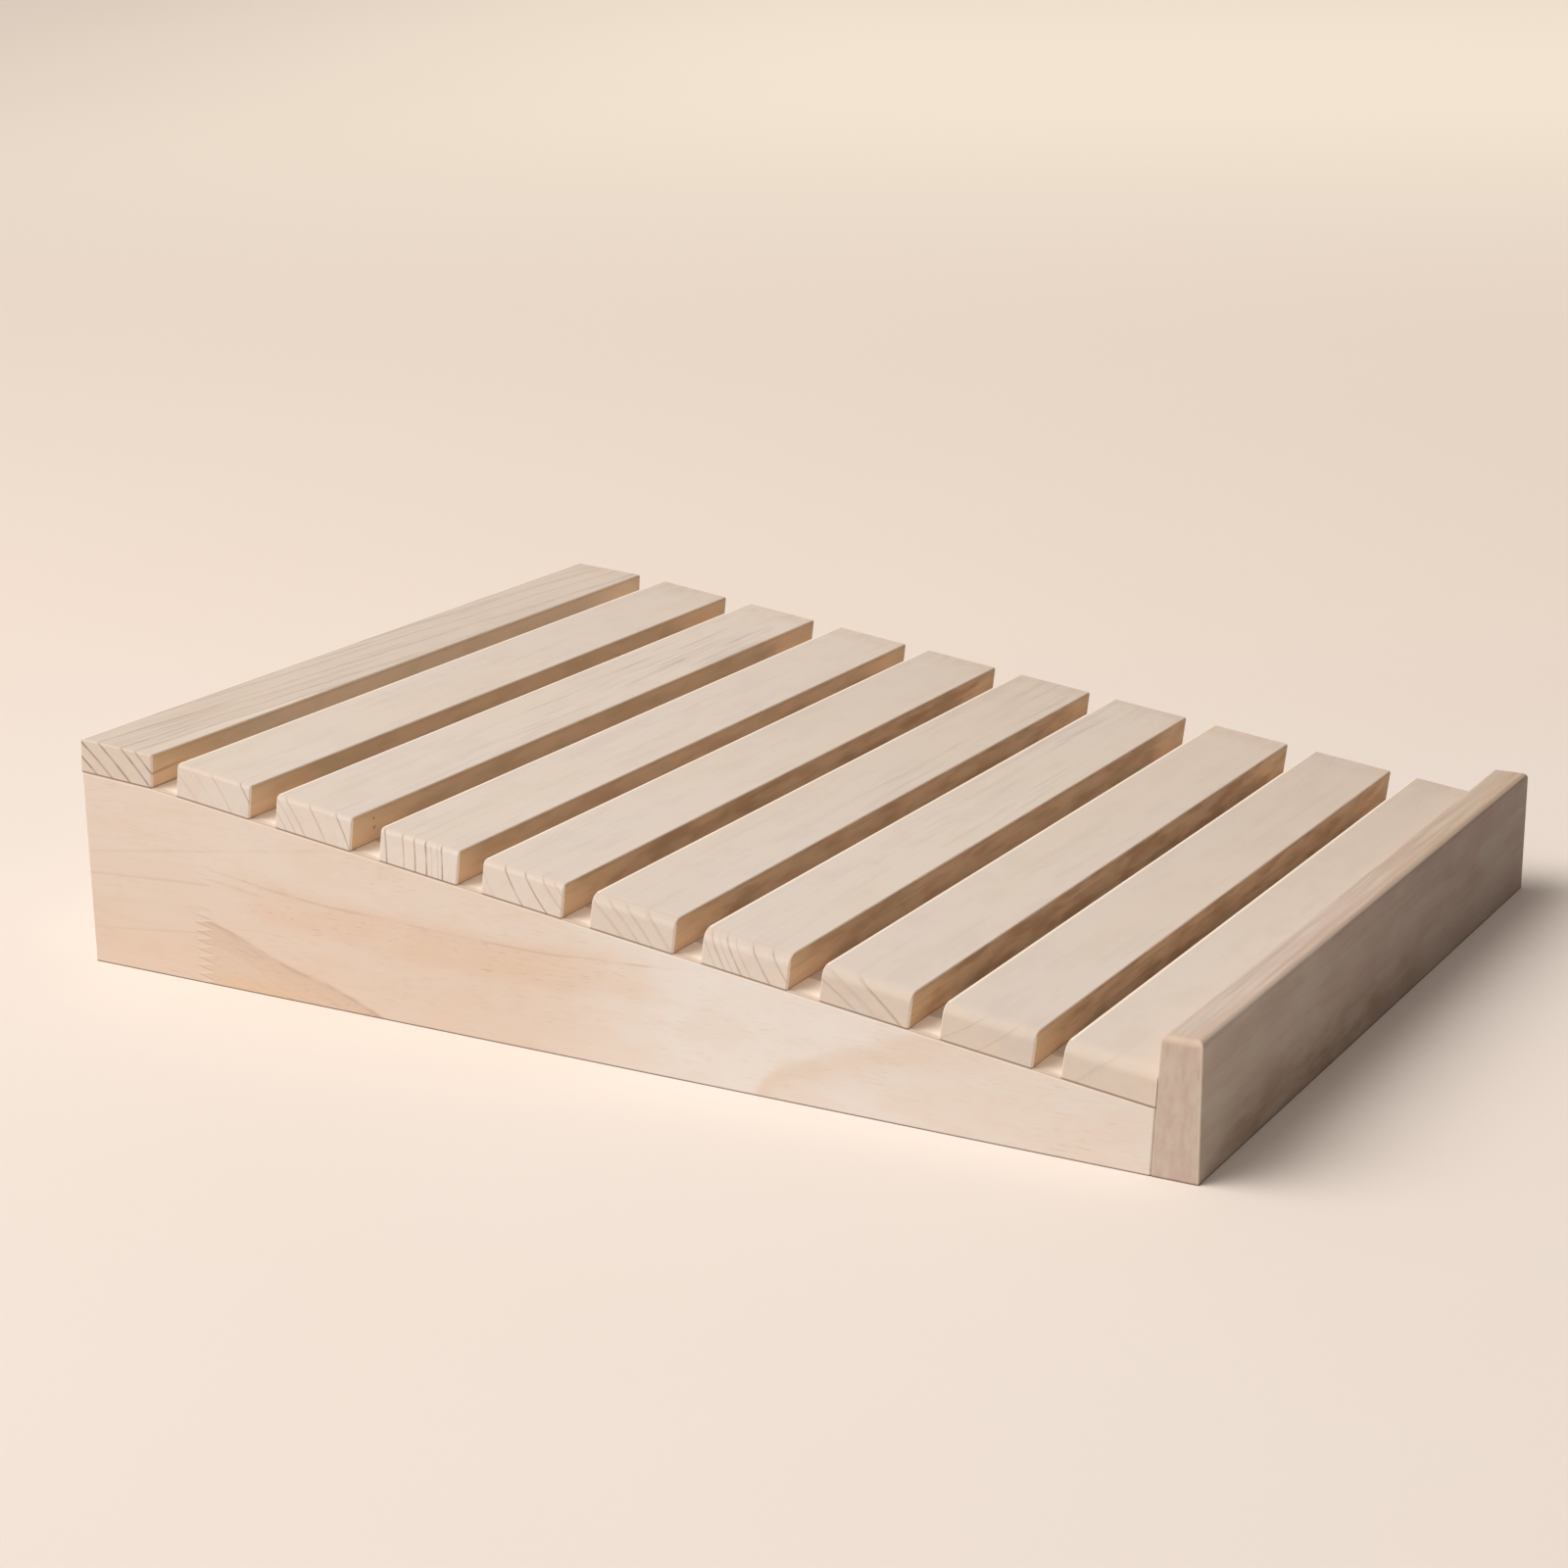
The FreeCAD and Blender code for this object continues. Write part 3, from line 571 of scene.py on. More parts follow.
def slat_tone(g, streaks, flecks):
    """The tones of the top, darker along it with painted shade, the ends, and the rounded edges above
    the ends, darkened with painted shade.
    """
    # Painted shade: the top darker along the slat, as the light falls off.
    top = g.blend(g.fade(g.from_near_end, 40.0, 450.0, *g.look.top_falloff_shade), PINE_PALE, PINE_DIM)
    blotch = g.fade(g.noise(g.local, (8.0, 8.0, 6.0), 3.0, 0.6, g.seed + 14.0), 0.35, 0.70, 0.0, 0.30)
    end = g.tint(g.blend(g.look.end_warmth, PINE_END, PINE_END_WARM), PINE_WARM, blotch)
    colour = g.blend(g.on_end, top, end)
    colour = g.tint(colour, PINE_GREY, slat_darkness(g, streaks, flecks))
    on_nose = g.multiply(g.fade(g.sideways, 0.02, 0.35), g.fall(g.sideways, 0.75, 0.98))
    # Painted shade on the rounded edge above the near end, which faces the light.
    colour = g.tint(colour, PINE_DIM, on_nose, g.look.nose_shade)
    outer = g.fade(g.radius, g.look.pale_beyond - 1.0, g.look.pale_beyond + 1.0)
    wedge = g.multiply(outer, g.on_top, g.fade(g.from_near_end, 20.0, 110.0, 0.14, 0.40))
    colour = g.tint(colour, PALE_WOOD_AND_HIGHLIGHT, wedge)
    broad = g.noise(g.local, (200.0, 30.0, 30.0), 1.0, 0.5, g.seed + 4.0)
    return g.tint(colour, PINE_WARM, g.fade(broad, 0.35, 0.75, 0.0, 0.25))


def end_rings(g, colour, rings):
    """The growth lines, full on the ends and fainter on the top, where they fade along the slat."""
    on_top = g.fade(g.from_near_end, 5.0, 110.0, 0.11 + 0.5 * g.look.carried, 0.25 * g.look.lines[0])
    uneven = g.fade(g.noise(g.local, (14.0, 9.0, 6.0), 1.0, 0.5, g.seed + 13.0), 0.35, 0.60, 0.6, 1.0)
    shown = g.multiply(g.fade(g.sideways, 0.35, 0.92, on_top, 1.0), uneven)
    return g.tint(colour, RING_BROWN, rings, shown)


def front_gap_shade(g):
    """How much painted shade darkens the front in the gap: in patches along it, and at both of its
    ends.
    """
    patches = g.fade(g.noise(g.local, (38.0, 9.0, 8.0), 2.5, 0.55, g.seed + 8.0), 0.40, 0.66)
    patches = g.multiply(patches, g.fade(g.from_near_end, 0.0, 24.0))
    at_ends = g.highest(g.fade(g.from_near_end, 8.0, 26.0, 0.06, 0.35),
                        g.fade(g.from_near_end, *AT_FAR_END, 0.12, 0.45))
    return g.highest(g.multiply(g.add(g.multiply(patches, 0.65), 0.35), g.look.gap_shade),
                     g.multiply(at_ends, g.look.gap_shade))


def front_olive(g):
    """How olive the front is: in patches along it, high up near its near end, and at its far end."""
    patches = g.fade(g.noise(g.local, (30.0, 9.0, 9.0), 1.0, 0.5, g.seed + 9.0), 0.50, 0.65)
    near = g.multiply(g.fall(g.from_near_end, 20.0, 60.0), g.fade(g.up, 3.0, 14.0, 0.06, 0.26))
    far = g.fade(g.from_near_end, *AT_FAR_END, 0.0, 0.28)
    return g.highest(g.multiply(patches, 0.22), near, far)


def front_tone(g, vein):
    """A slat's front in the gap: warm with painted bounce light, darkened with painted shade, with a
    dark line under its top edge, and knots.
    """
    # Painted bounce light and painted shade on the front in the gap.
    front = g.blend(front_gap_shade(g), GAP_BOUNCE_TINT, GAP_SHADE_AND_SMUDGE)
    front = g.tint(front, RING_BROWN, vein, 0.28 * g.look.gap_shade)
    front = g.tint(front, GAP_OLIVE, front_olive(g))
    # Painted light: the front paler past the near end.
    front = g.tint(front, PAINTED_HIGHLIGHT, g.fade(g.from_near_end, 30.0, 90.0, 0.0, g.look.front_painted_light))
    front = g.tint(front, GAP_SHADE_AND_SMUDGE, g.span(g.up, 15.3, 15.9, 0.4), 0.3)
    for knot_x, knot_up, size in g.look.knots:
        from_knot = g.join(g.subtract(g.x, knot_x), 0.0, g.subtract(g.up, knot_up))
        apart = g.vector_math("LENGTH", from_knot)
        front = g.tint(front, RING_BROWN, g.fade(apart, 0.4 * size, size, 0.8, 0.0))
    return front


def gap_faces(g, colour):
    """The faces towards the gaps: the front, with a painted highlight down its near edge, and the
    rear.
    """
    vein = g.fade(g.noise(g.local, (70.0, 9.0, 2.2), 2.0, 0.5, g.seed + 12.0), 0.56, 0.68)
    colour = g.tint(colour, front_tone(g, vein), g.on_front)
    rear = g.blend(g.multiply(vein, 0.45), PINE_REAR, PINE_DIM)
    colour = g.tint(colour, rear, g.fade(g.facing_y, 0.5, 0.85))
    # A painted highlight down the front's near edge.
    return g.tint(colour, PALE_WOOD_AND_HIGHLIGHT, g.on_front, g.fade(g.from_near_end, 0.8, 1.6, 0.9, 0.0))


def front_rings(g, colour, rings):
    """The growth lines, carried on from the near end a short way along the front."""
    shown = g.fade(g.from_near_end, 8.0, 36.0, g.look.carried, 0.0)
    return g.tint(colour, RING_BROWN, rings, g.on_front, shown)


def slat_edges(g, colour):
    """The browned far end, a painted highlight along the rear edge, painted highlights on the rounded
    edges, and a painted contact shadow at the foot.
    """
    brown = g.noise(g.local, (12.0, 5.0, 5.0), 2.0, 0.6, g.seed + 16.0)
    colour = g.tint(colour, GAP_SHADE_AND_SMUDGE, g.fade(g.from_near_end, 432.0, 456.0),
                    g.fade(brown, 0.35, 0.65, 0.04, 0.22))
    # A painted highlight along the top's rear edge.
    rear_highlight = g.multiply(g.span(g.back, -1.6, -0.9, 0.25), g.on_top)
    colour = g.tint(colour, PAINTED_HIGHLIGHT, rear_highlight, 0.8)
    # Painted highlights on the rounded edges, brightest on those that face the rear.
    arris_highlight = g.multiply(g.fade(g.facing_y, -0.6, 0.2, 0.25, 0.85), g.fall(g.sideways, 0.1, 0.3))
    colour = g.tint(colour, PALE_WOOD_AND_HIGHLIGHT, arris_highlight_share(g, g.facing), arris_highlight)
    # Painted contact shadow where the slat lies on the side.
    return g.tint(colour, SLAT_CONTACT_SHADOW, contact_shadow(g, g.up, 0.7), 0.75)


def slat_material(name, look):
    g = SlatSurface(name, look)
    streaks = fibres(g, g.local, g.seed, 0.3)
    flecks = pores(g, g.local, g.seed)
    rings = ring_lines(g)
    colour = slat_tone(g, streaks, flecks)
    colour = end_rings(g, colour, rings)
    colour = gap_faces(g, colour)
    colour = front_rings(g, colour, rings)
    colour = slat_edges(g, colour)
    return dress(g, colour, hollowed(g, streaks, g.add(flecks, rings)), relief=PLANED_RELIEF)


# ---------------------------------------------------------------- sides


class SideSurface(Surface):
    """A side's material. The figure is moved by drift: along is y after that. up is 0 at the floor."""

    def __init__(self, name, drift):
        super().__init__(name)
        self.x, self.y, self.up = self.split(self.point)
        self.along = self.add(self.y, drift)
        self.grain = self.join(self.along, self.x, self.up)
        directions = self.split(self.facing)
        self.sideways = self.absolute(directions["X"])
        self.facing_z = directions["Z"]


def below_seat(g):
    """How far a point lies under the line that the slats lie on."""
    heights = (g.add(g.multiply(g.subtract(g.y, start_y), math.tan(lean)), start_z)
               for (start_y, start_z), lean in ((DECK_START, DECK_LEAN), (SEAT_START, SEAT_LEAN)))
    return g.subtract(g.math("MINIMUM", *heights), g.up)


def finger_lines(g):
    """The glued zigzag of the finger joint: 1 on its dark flanks, and 1 on its pale flanks."""
    raised = g.add(g.up, 0.5 * FINGER_PITCH)
    turn = g.math("PINGPONG", raised, 0.5 * FINGER_PITCH)
    across = g.swing(g.multiply(turn, 2.0 / FINGER_PITCH), FINGER_LENGTH)
    apart = g.subtract(g.subtract(g.along, JOINT_MIDDLE), across)
    low = g.fall(g.up, 34.0, 44.0)
    high = g.multiply(g.span(g.up, 53.6, 61.0, 1.0), 0.35)
    drawn = g.multiply(g.line(apart, 2.2), g.highest(low, high))
    falling = g.fade(g.math("FRACT", g.multiply(raised, 1.0 / FINGER_PITCH)), 0.45, 0.55)
    return g.multiply(drawn, g.rest_of(falling)), g.multiply(drawn, falling)


def side_grit(g, colour, streaks, flecks):
    """Golden patches, short tan dashes in patches of their own, streaks and flecks."""
    golden = g.fade(g.noise(g.grain, (32.0, 20.0, 11.0), 3.0, 0.6, 48.0), 0.42, 0.66, 0.0, 0.17)
    colour = g.tint(colour, SIDE_PEACH, golden)
    grit = g.fade(g.noise(g.grain, (11.0, 1.1, 1.0), 2.0, 0.6, 34.0), 0.54, 0.70)
    patches = g.fade(g.noise(g.grain, (40.0, 20.0, 14.0), 1.0, 0.5, 39.0), 0.35, 0.65)
    colour = g.tint(colour, SIDE_TAN, grit, patches, 0.38)
    dark = g.add(g.swing(streaks, 0.22), g.multiply(flecks, 0.16))
    return g.tint(colour, SIDE_LINE, g.highest(dark, 0.0))


def side_top_edge(g, colour):
    """Along the side's top edge: painted shade in the dark line, a painted highlight in the paler one
    below it, and painted shade on the rounded edge.
    """
    outward = g.fade(g.sideways, 0.5, 0.8)
    depth = below_seat(g)
    # A painted highlight in a pale line just under the slats' seat.
    colour = g.tint(colour, PALE_WOOD_AND_HIGHLIGHT, g.span(depth, 0.8, 1.2, 0.4), outward, 0.30)
    # Painted shade in the dark line where the slats sit on the side.
    colour = g.tint(colour, SIDE_LINE, g.fall(depth, 0.2, 0.7), outward, 0.35)
    # Painted shade on the rounded top edge.
    shaded_rim = g.multiply(g.fade(g.facing_z, 0.15, 0.45), g.fade(g.sideways, 0.12, 0.40))
    return g.tint(colour, SIDE_LINE, shaded_rim, 0.55)


def ledge_painted_light(g, colour):
    """The top face that the slats lie on, with painted light: darker at its outer edge, paler inwards
    where the slats' shadow falls.
    """
    from_outside = g.subtract(-NEAR_END, g.absolute(g.x))
    tone = g.blend(g.fade(from_outside, 1.0, 5.5), LEDGE_SHADED_OUTER, LEDGE_LIT_INNER)
    return g.tint(colour, tone, g.fade(g.facing_z, 0.93, 0.985))


def side_finish(g, colour):
    """What board and block share: grit, the glued joint, the top edge's painted shade and highlight,
    the ledge's painted light, and a painted contact shadow at the foot.
    """
    streaks = fibres(g, g.grain, 31.0)
    flecks = pores(g, g.grain, 33.0)
    colour = side_grit(g, colour, streaks, flecks)
    dark_flank, pale_flank = finger_lines(g)
    colour = g.tint(colour, SIDE_LINE, dark_flank, 0.48)
    colour = g.tint(colour, SIDE_PINK, pale_flank, 0.55)
    colour = side_top_edge(g, colour)
    colour = ledge_painted_light(g, colour)
    # Painted contact shadow at the foot.
    colour = g.tint(colour, FOOT_CONTACT_SHADOW, contact_shadow(g, g.up, 0.9), 0.9)
    return dress(g, colour, hollowed(g, streaks, flecks))


def side_pink(g):
    """How much paler and pinker the upper rear part is, the same on both sides of the joint."""
    return g.multiply(g.fade(g.up, 57.0, 63.0), g.fade(g.along, 200.0, 250.0, 0.16, 0.08))


class BoardSurface(SideSurface):
    """A side's main board: how far a point lies above the figure's lines, and the areas they bound."""

    def __init__(self, name, drift):
        super().__init__(name, drift)
        wander = self.noise(self.grain, (60.0, 60.0, 14.0), 2.0, 0.5, 3.0)
        height = self.add(self.up, self.swing(wander, 2.0))
        along = self.along
        self.over_upper = self.subtract(height, self.curve(along, UPPER_LINE, 0.0, LINES_HIGH))
        self.over_lower = self.subtract(height, self.curve(along, LOWER_LINE, LINES_LOW, LINES_HIGH))
        over_front = self.subtract(height, self.curve(along, FRONT_LINE, LINES_LOW, LINES_HIGH))
        self.rearward = self.fade(along, 92.0, 105.0)
        self.flame = self.multiply(self.fall(self.over_lower, -1.0, 1.5), self.rearward)
        self.below_upper = self.multiply(self.span(self.over_upper, -13.0, -1.0, 9.0),
                                         self.fade(along, -60.0, 10.0),
                                         self.fall(along, 185.0, 225.0))
        self.patch = self.multiply(self.fall(over_front, -4.0, 2.5),
                                   self.fade(over_front, -26.0, -5.0, 0.25, 1.0),
                                   self.fall(along, -90.0, -76.0),
                                   self.fade(along, -215.0, -150.0, 0.45, 1.0))


def board_pinkness(g):
    """How pink the board is: towards the lip, above the upper line, and high up at the rear."""
    toward_lip = g.multiply(g.fade(g.along, -190.0, -130.0, 0.55, 0.85),
                            g.fade(g.along, -70.0, 60.0, 1.0, 0.12))
    above_upper = g.multiply(g.fade(g.over_upper, -2.0, 3.0), g.fade(g.along, 170.0, 200.0, 0.16, 0.0))
    return g.highest(toward_lip, above_upper, side_pink(g))


def board_tone(g):
    """The board's broad areas: pink and warm wood, the patch towards the lip, the flame, its glow."""
    cloud = g.fade(g.noise(g.grain, (26.0, 26.0, 9.0), 2.0, 0.5, 35.0), 0.30, 0.65, 0.7, 1.1)
    low_warmth = g.multiply(g.fade(g.up, *WARM_HEIGHTS, 0.26, 0.04),
                            g.fade(g.along, -60.0, 60.0, 0.12, 1.0))
    colour = g.blend(board_pinkness(g), SIDE_PALE, SIDE_PINK)
    colour = g.tint(colour, SIDE_PEACH, g.add(g.multiply(g.below_upper, 0.36), low_warmth), cloud)
    colour = g.tint(colour, SIDE_PATCH, g.patch, cloud, 0.38)
    colour = g.tint(colour, SIDE_TAN, g.flame, g.fade(g.over_lower, -14.0, -1.0, 0.30, 0.58))
    low_glow = g.multiply(g.fall(g.up, 0.0, 12.0), g.span(g.along, 172.0, 212.0, 26.0))
    return g.tint(colour, SIDE_ORANGE, low_glow, 0.36)


def flame_threads(g):
    """Thin lines inside the flame, which follow the lower line."""
    followed = g.join(g.along, g.x, g.over_lower)
    crowded = g.multiply(g.flame, g.fade(g.over_lower, -14.0, -3.0, 0.30, 1.0),
                         g.fade(g.along, 190.0, 220.0, 1.0, 0.5))
    return g.multiply(threads(g, followed, (60.0, 20.0, 2.6), 36.0, 0.08), crowded, 0.34)


def board_lines(g):
    """The two long growth lines and the lesser ones, broken in places, with short dashes between."""
    broken = g.fade(g.noise(g.grain, (16.0, 20.0, 6.0), 1.0, 0.5, 42.0), 0.38, 0.60, 0.28, 1.0)
    upper = g.multiply(g.line(g.over_upper, 1.0), g.fade(g.along, -60.0, -25.0), 0.30)
    second = g.multiply(g.line(g.add(g.over_upper, 5.0), 1.2), g.fade(g.along, 170.0, 200.0), 0.2)
    lower = g.multiply(g.line(g.over_lower, 2.2), g.rearward, 0.26)
    dark_core = g.multiply(g.line(g.over_lower, 0.9), g.rearward, g.fade(broken, 0.5, 0.9), 0.52)
    carried_height = g.add(g.multiply(g.subtract(BLOCK_START, g.along), 0.15), TOP_LINE_HEIGHT)
    carried = g.multiply(g.line(g.subtract(g.up, carried_height), 1.5),
                         g.fade(g.along, 142.0, 165.0), 0.14)
    lines = g.multiply(g.highest(upper, second, lower, dark_core, flame_threads(g), carried), broken)
    dashes = g.fade(g.noise(g.grain, (9.0, 5.0, 0.9), 1.0, 0.5, 46.0), 0.60, 0.72)
    dashed = g.highest(g.below_upper, g.flame, g.multiply(g.patch, 0.6), 0.3)
    return g.highest(lines, g.multiply(dashes, dashed, 0.32))


def side_board_material(name, drift):
    """A cathedral figure: two long growth lines, a flame at the rear and a warm patch at the front."""
    g = BoardSurface(name, drift)
    return side_finish(g, g.tint(board_tone(g), SIDE_LINE, board_lines(g)))


def side_block_material(name, drift):
    """The short rear length of a side: plainer, with three straight growth lines."""
    g = SideSurface(name, drift)
    wander = g.noise(g.grain, (50.0, 50.0, 14.0), 2.0, 0.5, 13.0)
    height = g.add(g.up, g.swing(wander, 1.0))
    lines = g.multiply(threads(g, g.grain, (110.0, 20.0, 6.0), 44.0), 0.04)
    for start, slope, darkness in BLOCK_LINES:
        straight = g.add(g.multiply(g.subtract(g.along, BLOCK_START), slope), start)
        lines = g.highest(lines, g.multiply(g.line(g.subtract(height, straight), 1.2), darkness))
    colour = g.blend(side_pink(g), SIDE_PALE, SIDE_PINK)
    colour = g.tint(colour, SIDE_PEACH, g.fade(g.up, *WARM_HEIGHTS, 0.30, 0.06))
    return side_finish(g, g.tint(colour, SIDE_LINE, lines))


# ---------------------------------------------------------------- lip and inner strips


class LipSurface(Surface):
    """The lip's material, with shares for its ends, its top and its front."""

    def __init__(self, name):
        super().__init__(name)
        self.x, self.y, self.z = self.split(self.point)
        facing_x, facing_y, facing_z = self.split(self.facing)
        self.on_end = self.fade(self.absolute(facing_x), 0.10, 0.45)
        self.on_top = self.multiply(self.fade(facing_z, 0.6, 0.9), self.rest_of(self.on_end))
        self.on_front = self.fall(facing_y, -0.9, -0.6)


def lip_darkness(g, streaks, flecks):
    """How much darker than its plain tone the lip is; below 0 it counts as 0."""
    streaked = g.fade(g.highest(g.on_end, g.on_front), 0.0, 1.0, 0.30, 0.06)
    bands = g.fade(g.noise(g.point, (110.0, 2.6, 8.0), 2.0, 0.55, 57.0), 0.42, 0.60)
    thin = threads(g, g.point, (200.0, 2.6, 5.0), 59.0)
    leaning = g.join(0.0, g.add(g.y, g.multiply(g.z, 0.12)), g.z)
    end_grain = g.fade(g.noise(leaning, (9.0, 4.5, 9.0), 4.0, 0.65, 55.0), 0.38, 0.68)
    cloud = g.fade(g.noise(g.point, (40.0, 20.0, 16.0), 4.0, 0.55, 56.0), 0.38, 0.66)
    # Painted shade low on the front, darker towards the floor.
    low_shade = g.multiply(g.span(g.x, -170.0, 30.0, 60.0), g.fall(g.z, 6.0, 34.0), g.on_front)
    uneven = g.fade(g.noise(g.point, (34.0, 20.0, 11.0), 3.0, 0.6, 60.0), 0.35, 0.65, 0.30, 0.70)
    dark = g.add(g.swing(streaks, streaked),
                 g.multiply(bands, g.on_top, 0.22),
                 g.multiply(thin, g.highest(g.on_top, g.multiply(g.on_front, 0.75)), 0.14),
                 g.multiply(g.on_end, 0.24),
                 g.multiply(end_grain, g.on_end, 0.18),
                 g.multiply(cloud, g.on_front, 0.20),
                 g.multiply(low_shade, uneven),
                 g.multiply(flecks, 0.16))
    return g.highest(dark, 0.0)


def lip_tone(g, streaks, flecks):
    """Pale and pink wood, with a tan strip along the front of the top and a tan near corner."""
    pink = g.fade(g.noise(g.point, (60.0, 4.0, 14.0), 2.0, 0.5, 58.0), 0.40, 0.62)
    colour = g.blend(g.multiply(pink, 0.8), LIP_PALE, LIP_PINK)
    front_strip = g.fade(g.y, LIP_FACE + 3.0, LIP_FACE + 11.0, 0.55, 0.0)
    colour = g.tint(colour, LIP_TAN, g.on_top, front_strip)
    colour = g.tint(colour, LIP_DARK, lip_darkness(g, streaks, flecks))
    return g.tint(colour, SIDE_TAN, g.fade(g.z, LIP_HEIGHT - 4.2, LIP_HEIGHT - 3.0),
                  g.fall(g.x, NEAR_END + 5.0, NEAR_END + 8.0), 0.5)


def lip_shading(g, colour):
    """Painted shade: the top darker towards its far end, and the front darker than the rest."""
    colour = g.tint(colour, LIP_TOP_SHADE_FAR, g.on_top, g.fade(g.x, -150.0, 180.0), kind="MULTIPLY")
    front = g.blend(g.fade(g.x, -200.0, 120.0), LIP_FACE_SHADE_NEAR, LIP_FACE_SHADE_FAR)
    return g.tint(colour, front, g.on_front, kind="MULTIPLY")


def lip_edge_highlights(g):
    """The thin painted highlights on the edges round the lip's front face."""
    at_face = g.fall(g.y, LIP_FACE + 0.4, LIP_FACE + 1.3)
    at_top = g.multiply(g.fade(g.z, LIP_HEIGHT - 1.1, LIP_HEIGHT - 0.4),
                        g.fade(g.x, -150.0, 60.0, 0.3, 1.0))
    from_end = g.subtract(-NEAR_END, g.absolute(g.x))
    at_end = g.fade(from_end, 0.3, 1.0, 0.6, 0.0)
    return g.multiply(at_face, g.highest(at_top, at_end))


def lip_material():
    g = LipSurface("pine_lip")
    streaks = fibres(g, g.point, 51.0)
    flecks = pores(g, g.point, 53.0)
    colour = lip_shading(g, lip_tone(g, streaks, flecks))
    # Painted highlights on the edges round the front face.
    colour = g.tint(colour, PAINTED_HIGHLIGHT, lip_edge_highlights(g), 0.6)
    # Painted contact shadow at the foot.
    colour = g.tint(colour, FOOT_CONTACT_SHADOW, contact_shadow(g, g.z), 0.85)
    return dress(g, colour, hollowed(g, streaks, flecks), relief=PLANED_RELIEF)


def inner_material(name, lean, axis):
    """Plain pine for the hidden strips and the rear rail, with painted highlights on the rounded
    edges. axis is the way the grain runs.
    """
    g = Surface(name)
    x, y, z = g.split(turned(g, g.point, lean))
    grain = g.join(x, y, z) if axis == "x" else g.join(y, x, z)
    streaks = fibres(g, grain, 61.0)
    bands = g.fade(g.noise(grain, (160.0, 4.0, 5.0), 1.0, 0.5, 65.0), 0.5, 0.7)
    dark = g.add(g.swing(streaks, 0.3),
                 g.multiply(bands, 0.15),
                 g.multiply(threads(g, grain, (260.0, 4.0, 5.0), 66.0), 0.12),
                 g.multiply(pores(g, grain, 63.0), 0.16))
    colour = g.blend(g.highest(dark, 0.0), SIDE_PALE, SIDE_LINE)
    # Painted highlights on the rounded edges.
    colour = g.tint(colour, PALE_WOOD_AND_HIGHLIGHT, arris_highlight_share(g, g.facing), 0.4)
    return dress(g, colour, streaks)


# ---------------------------------------------------------------- fasteners


def beech_material():
    g = Surface("beech_dowel")
    flecks = g.noise(g.point, (1.2, 1.2, 1.2), 2.0, 0.6, 71.0)
    return dress(g, g.blend(g.fade(flecks, 0.35, 0.7), BEECH_PALE, BEECH_DARK), flecks)


def zinc_material():
    g = Surface("zinc_screw")
    g.shader.inputs["Metallic"].default_value = 1.0
    cloud = g.noise(g.point, (1.5, 1.5, 1.5), 3.0, 0.6, 81.0)
    colour = g.blend(g.fade(cloud, 0.3, 0.7), ZINC_PALE, ZINC_DARK)
    return dress(g, colour, cloud, ZINC_ROUGHNESS, FINE_RELIEF)


# ---------------------------------------------------------------- which piece gets which material


def give(material, *node_names):
    """Puts one material on every face of the CAD nodes."""
    for name in node_names:
        nodes[name].data.materials.clear()
        nodes[name].data.materials.append(material)


def dress_rack():
    for name, look in SLATS.items():
        give(slat_material(name, look), name)
    for side, drift in (("left", 0.0), ("right", JOINT_MOVED)):
        give(side_board_material("pine_side_" + side, drift), f"side_{side}_board")
        give(side_block_material("pine_block_" + side, drift), f"side_{side}_rear_block")
    give(lip_material(), "front_lip")
    give(inner_material("pine_cleat", DECK_LEAN, "y"), "cleat_left", "cleat_right")
    give(inner_material("pine_rail", 0.0, "x"), "back_rail")
    give(beech_material(), "lip_dowels", "rail_dowels")
    give(zinc_material(), "slat_screws", "cleat_screws")


# ---------------------------------------------------------------- floor, lights and camera


def floor_material():
    """Pale paper with painted light: its colour changes slowly over metres, paler far away and darker
    at the far left corner.
    """
    g = Surface("floor_paper")
    away = g.vector_math("DOT_PRODUCT", g.point, FLOOR_AWAY)
    leftward = g.vector_math("DOT_PRODUCT", g.point, FLOOR_LEFTWARD)
    speck = g.noise(g.point, (1.0, 1.0, 1.0), 3.0, 0.6, 91.0)
    cloud = g.noise(g.point, (260.0, 260.0, 260.0), 3.0, 0.5, 93.0)
    # Painted light: the paper's colour by distance, much paler far away, darker at the far left
    # corner.
    colour = g.blend(g.fade(away, 100.0, 800.0), FLOOR_NEAR, FLOOR_MIDDLE)
    colour = g.tint(colour, FLOOR_FAR, g.fade(away, 500.0, 5500.0))
    corner = g.multiply(g.fade(away, 1500.0, 6000.0), g.fade(leftward, -300.0, 3200.0))
    colour = g.tint(colour, FLOOR_CORNER, corner)
    cloudy = g.multiply(g.fade(cloud, 0.35, 0.65, 0.0, 0.06), g.fall(away, 300.0, 1500.0))
    colour = g.tint(colour, PINE_WARM, cloudy)
    return dress(g, colour, speck, PAPER_ROUGHNESS, FINE_RELIEF)


def make_floor():
    half = FLOOR_SIZE / 2
    corners = [(-half, -half, 0), (half, -half, 0), (half, half, 0), (-half, half, 0)]
    mesh = bpy.data.meshes.new("floor")
    mesh.from_pydata(corners, [], [(0, 1, 2, 3)])
    floor = bpy.data.objects.new("floor", mesh)
    bpy.context.scene.collection.objects.link(floor)
    mesh.materials.append(floor_material())


def place_lamp(lamp, place, backward):
    """Puts a lamp at a place, shining away from the direction backward."""
    lamp.color = LAMP_COLOUR
    holder = bpy.data.objects.new(lamp.name, lamp)
    holder.location = place
    holder.rotation_mode = "QUATERNION"
    holder.rotation_quaternion = backward.to_track_quat("Z", "Y")
    holder.visible_camera = False
    bpy.context.scene.collection.objects.link(holder)


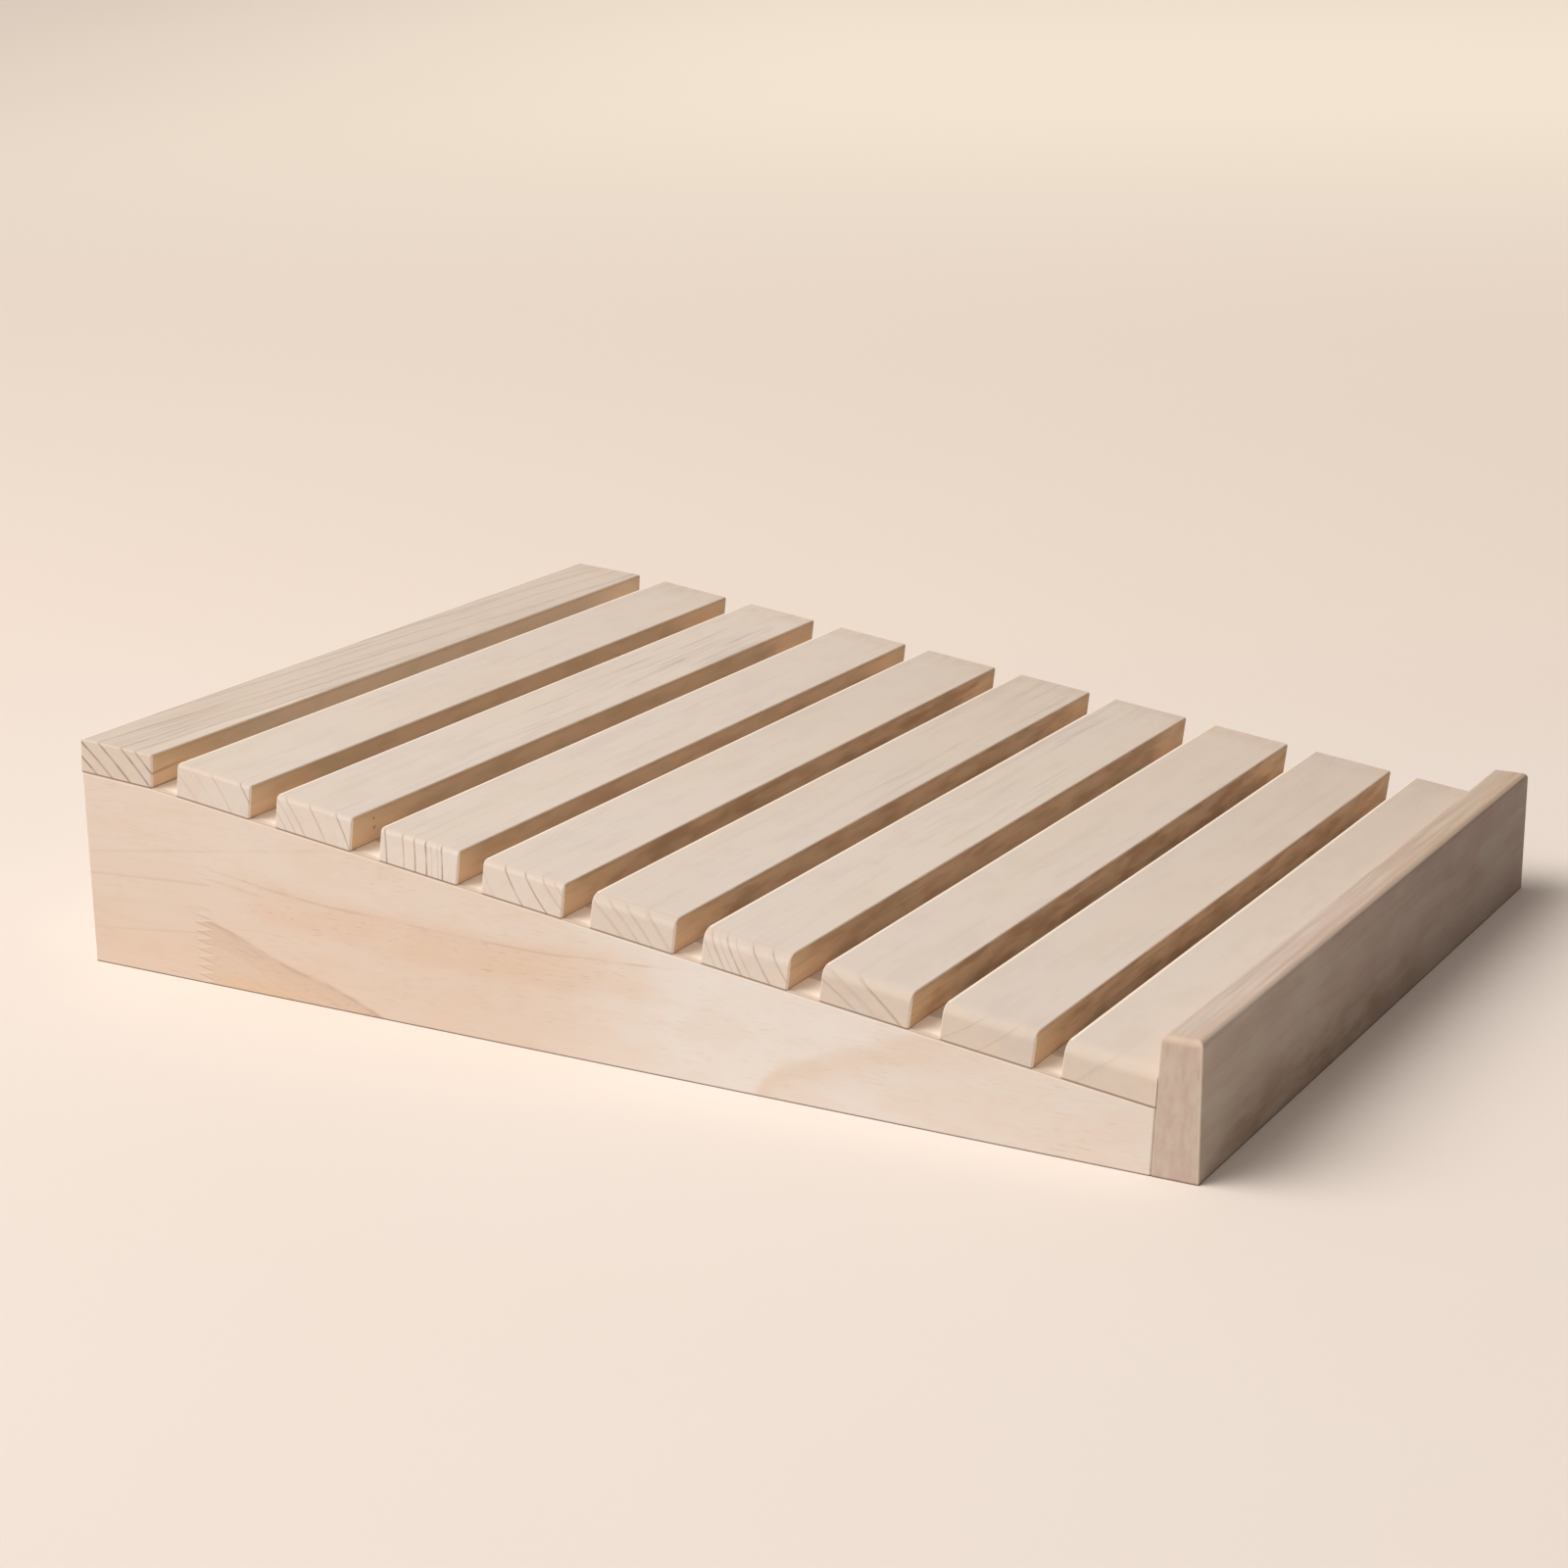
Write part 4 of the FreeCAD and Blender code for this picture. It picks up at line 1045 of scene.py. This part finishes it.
def disk_lamp(name, size, power):
    lamp = bpy.data.lights.new(name, "AREA")
    lamp.shape = "DISK"
    lamp.size = size
    lamp.energy = power
    return lamp


def make_lights():
    """A soft key from the rear left, as an even share and one that falls off, and a backdrop lamp."""
    place = KEY_TOWARDS.normalized() * NEAR_KEY_DISTANCE
    far_key = bpy.data.lights.new("far_key", "SUN")
    far_key.energy = FAR_KEY_STRENGTH
    far_key.angle = KEY_SPREAD
    place_lamp(far_key, place, place)
    near_size = 2 * NEAR_KEY_DISTANCE * math.tan(KEY_SPREAD / 2)
    near_power = NEAR_KEY_STRENGTH * math.pi * NEAR_KEY_DISTANCE ** 2
    place_lamp(disk_lamp("near_key", near_size, near_power), place, place)
    backdrop = disk_lamp("backdrop_lamp", BACKDROP_LAMP_SIZE, BACKDROP_LAMP_POWER)
    place_lamp(backdrop, BACKDROP_LAMP_PLACE, UPWARDS)


def make_sky():
    """Even studio light, weaker from the side that the lip faces."""
    g = Graph(bpy.data.worlds.new("sky"), "Background")
    direction = g.node("ShaderNodeTexCoord").outputs["Generated"]
    side = g.vector_math("DOT_PRODUCT", direction, SKY_BRIGHT_SIDE.normalized())
    g.put(g.shader.inputs["Color"], g.blend(g.fade(side, -0.6, 0.4), SKY_WARM, SKY_COLOUR))
    g.put(g.shader.inputs["Strength"], g.fade(side, -1.0, 1.0, SKY_WEAK, SKY_STRONG))
    bpy.context.scene.world = g.owner


def make_camera():
    lens = bpy.data.cameras.new("camera")
    lens.lens = CAMERA_LENS
    lens.sensor_width = SENSOR_WIDTH
    lens.clip_end = CAMERA_REACH
    camera = bpy.data.objects.new("camera", lens)
    camera.location = CAMERA_PLACE
    camera.rotation_mode = "QUATERNION"
    aim = (CAMERA_TARGET - CAMERA_PLACE).to_track_quat("-Z", "Y")
    camera.rotation_quaternion = aim @ Quaternion((0, 0, 1), CAMERA_ROLL)
    bpy.context.scene.collection.objects.link(camera)
    bpy.context.scene.camera = camera


dress_rack()
make_floor()
make_lights()
make_sky()
make_camera()
bpy.context.scene.view_settings.view_transform = "Standard"
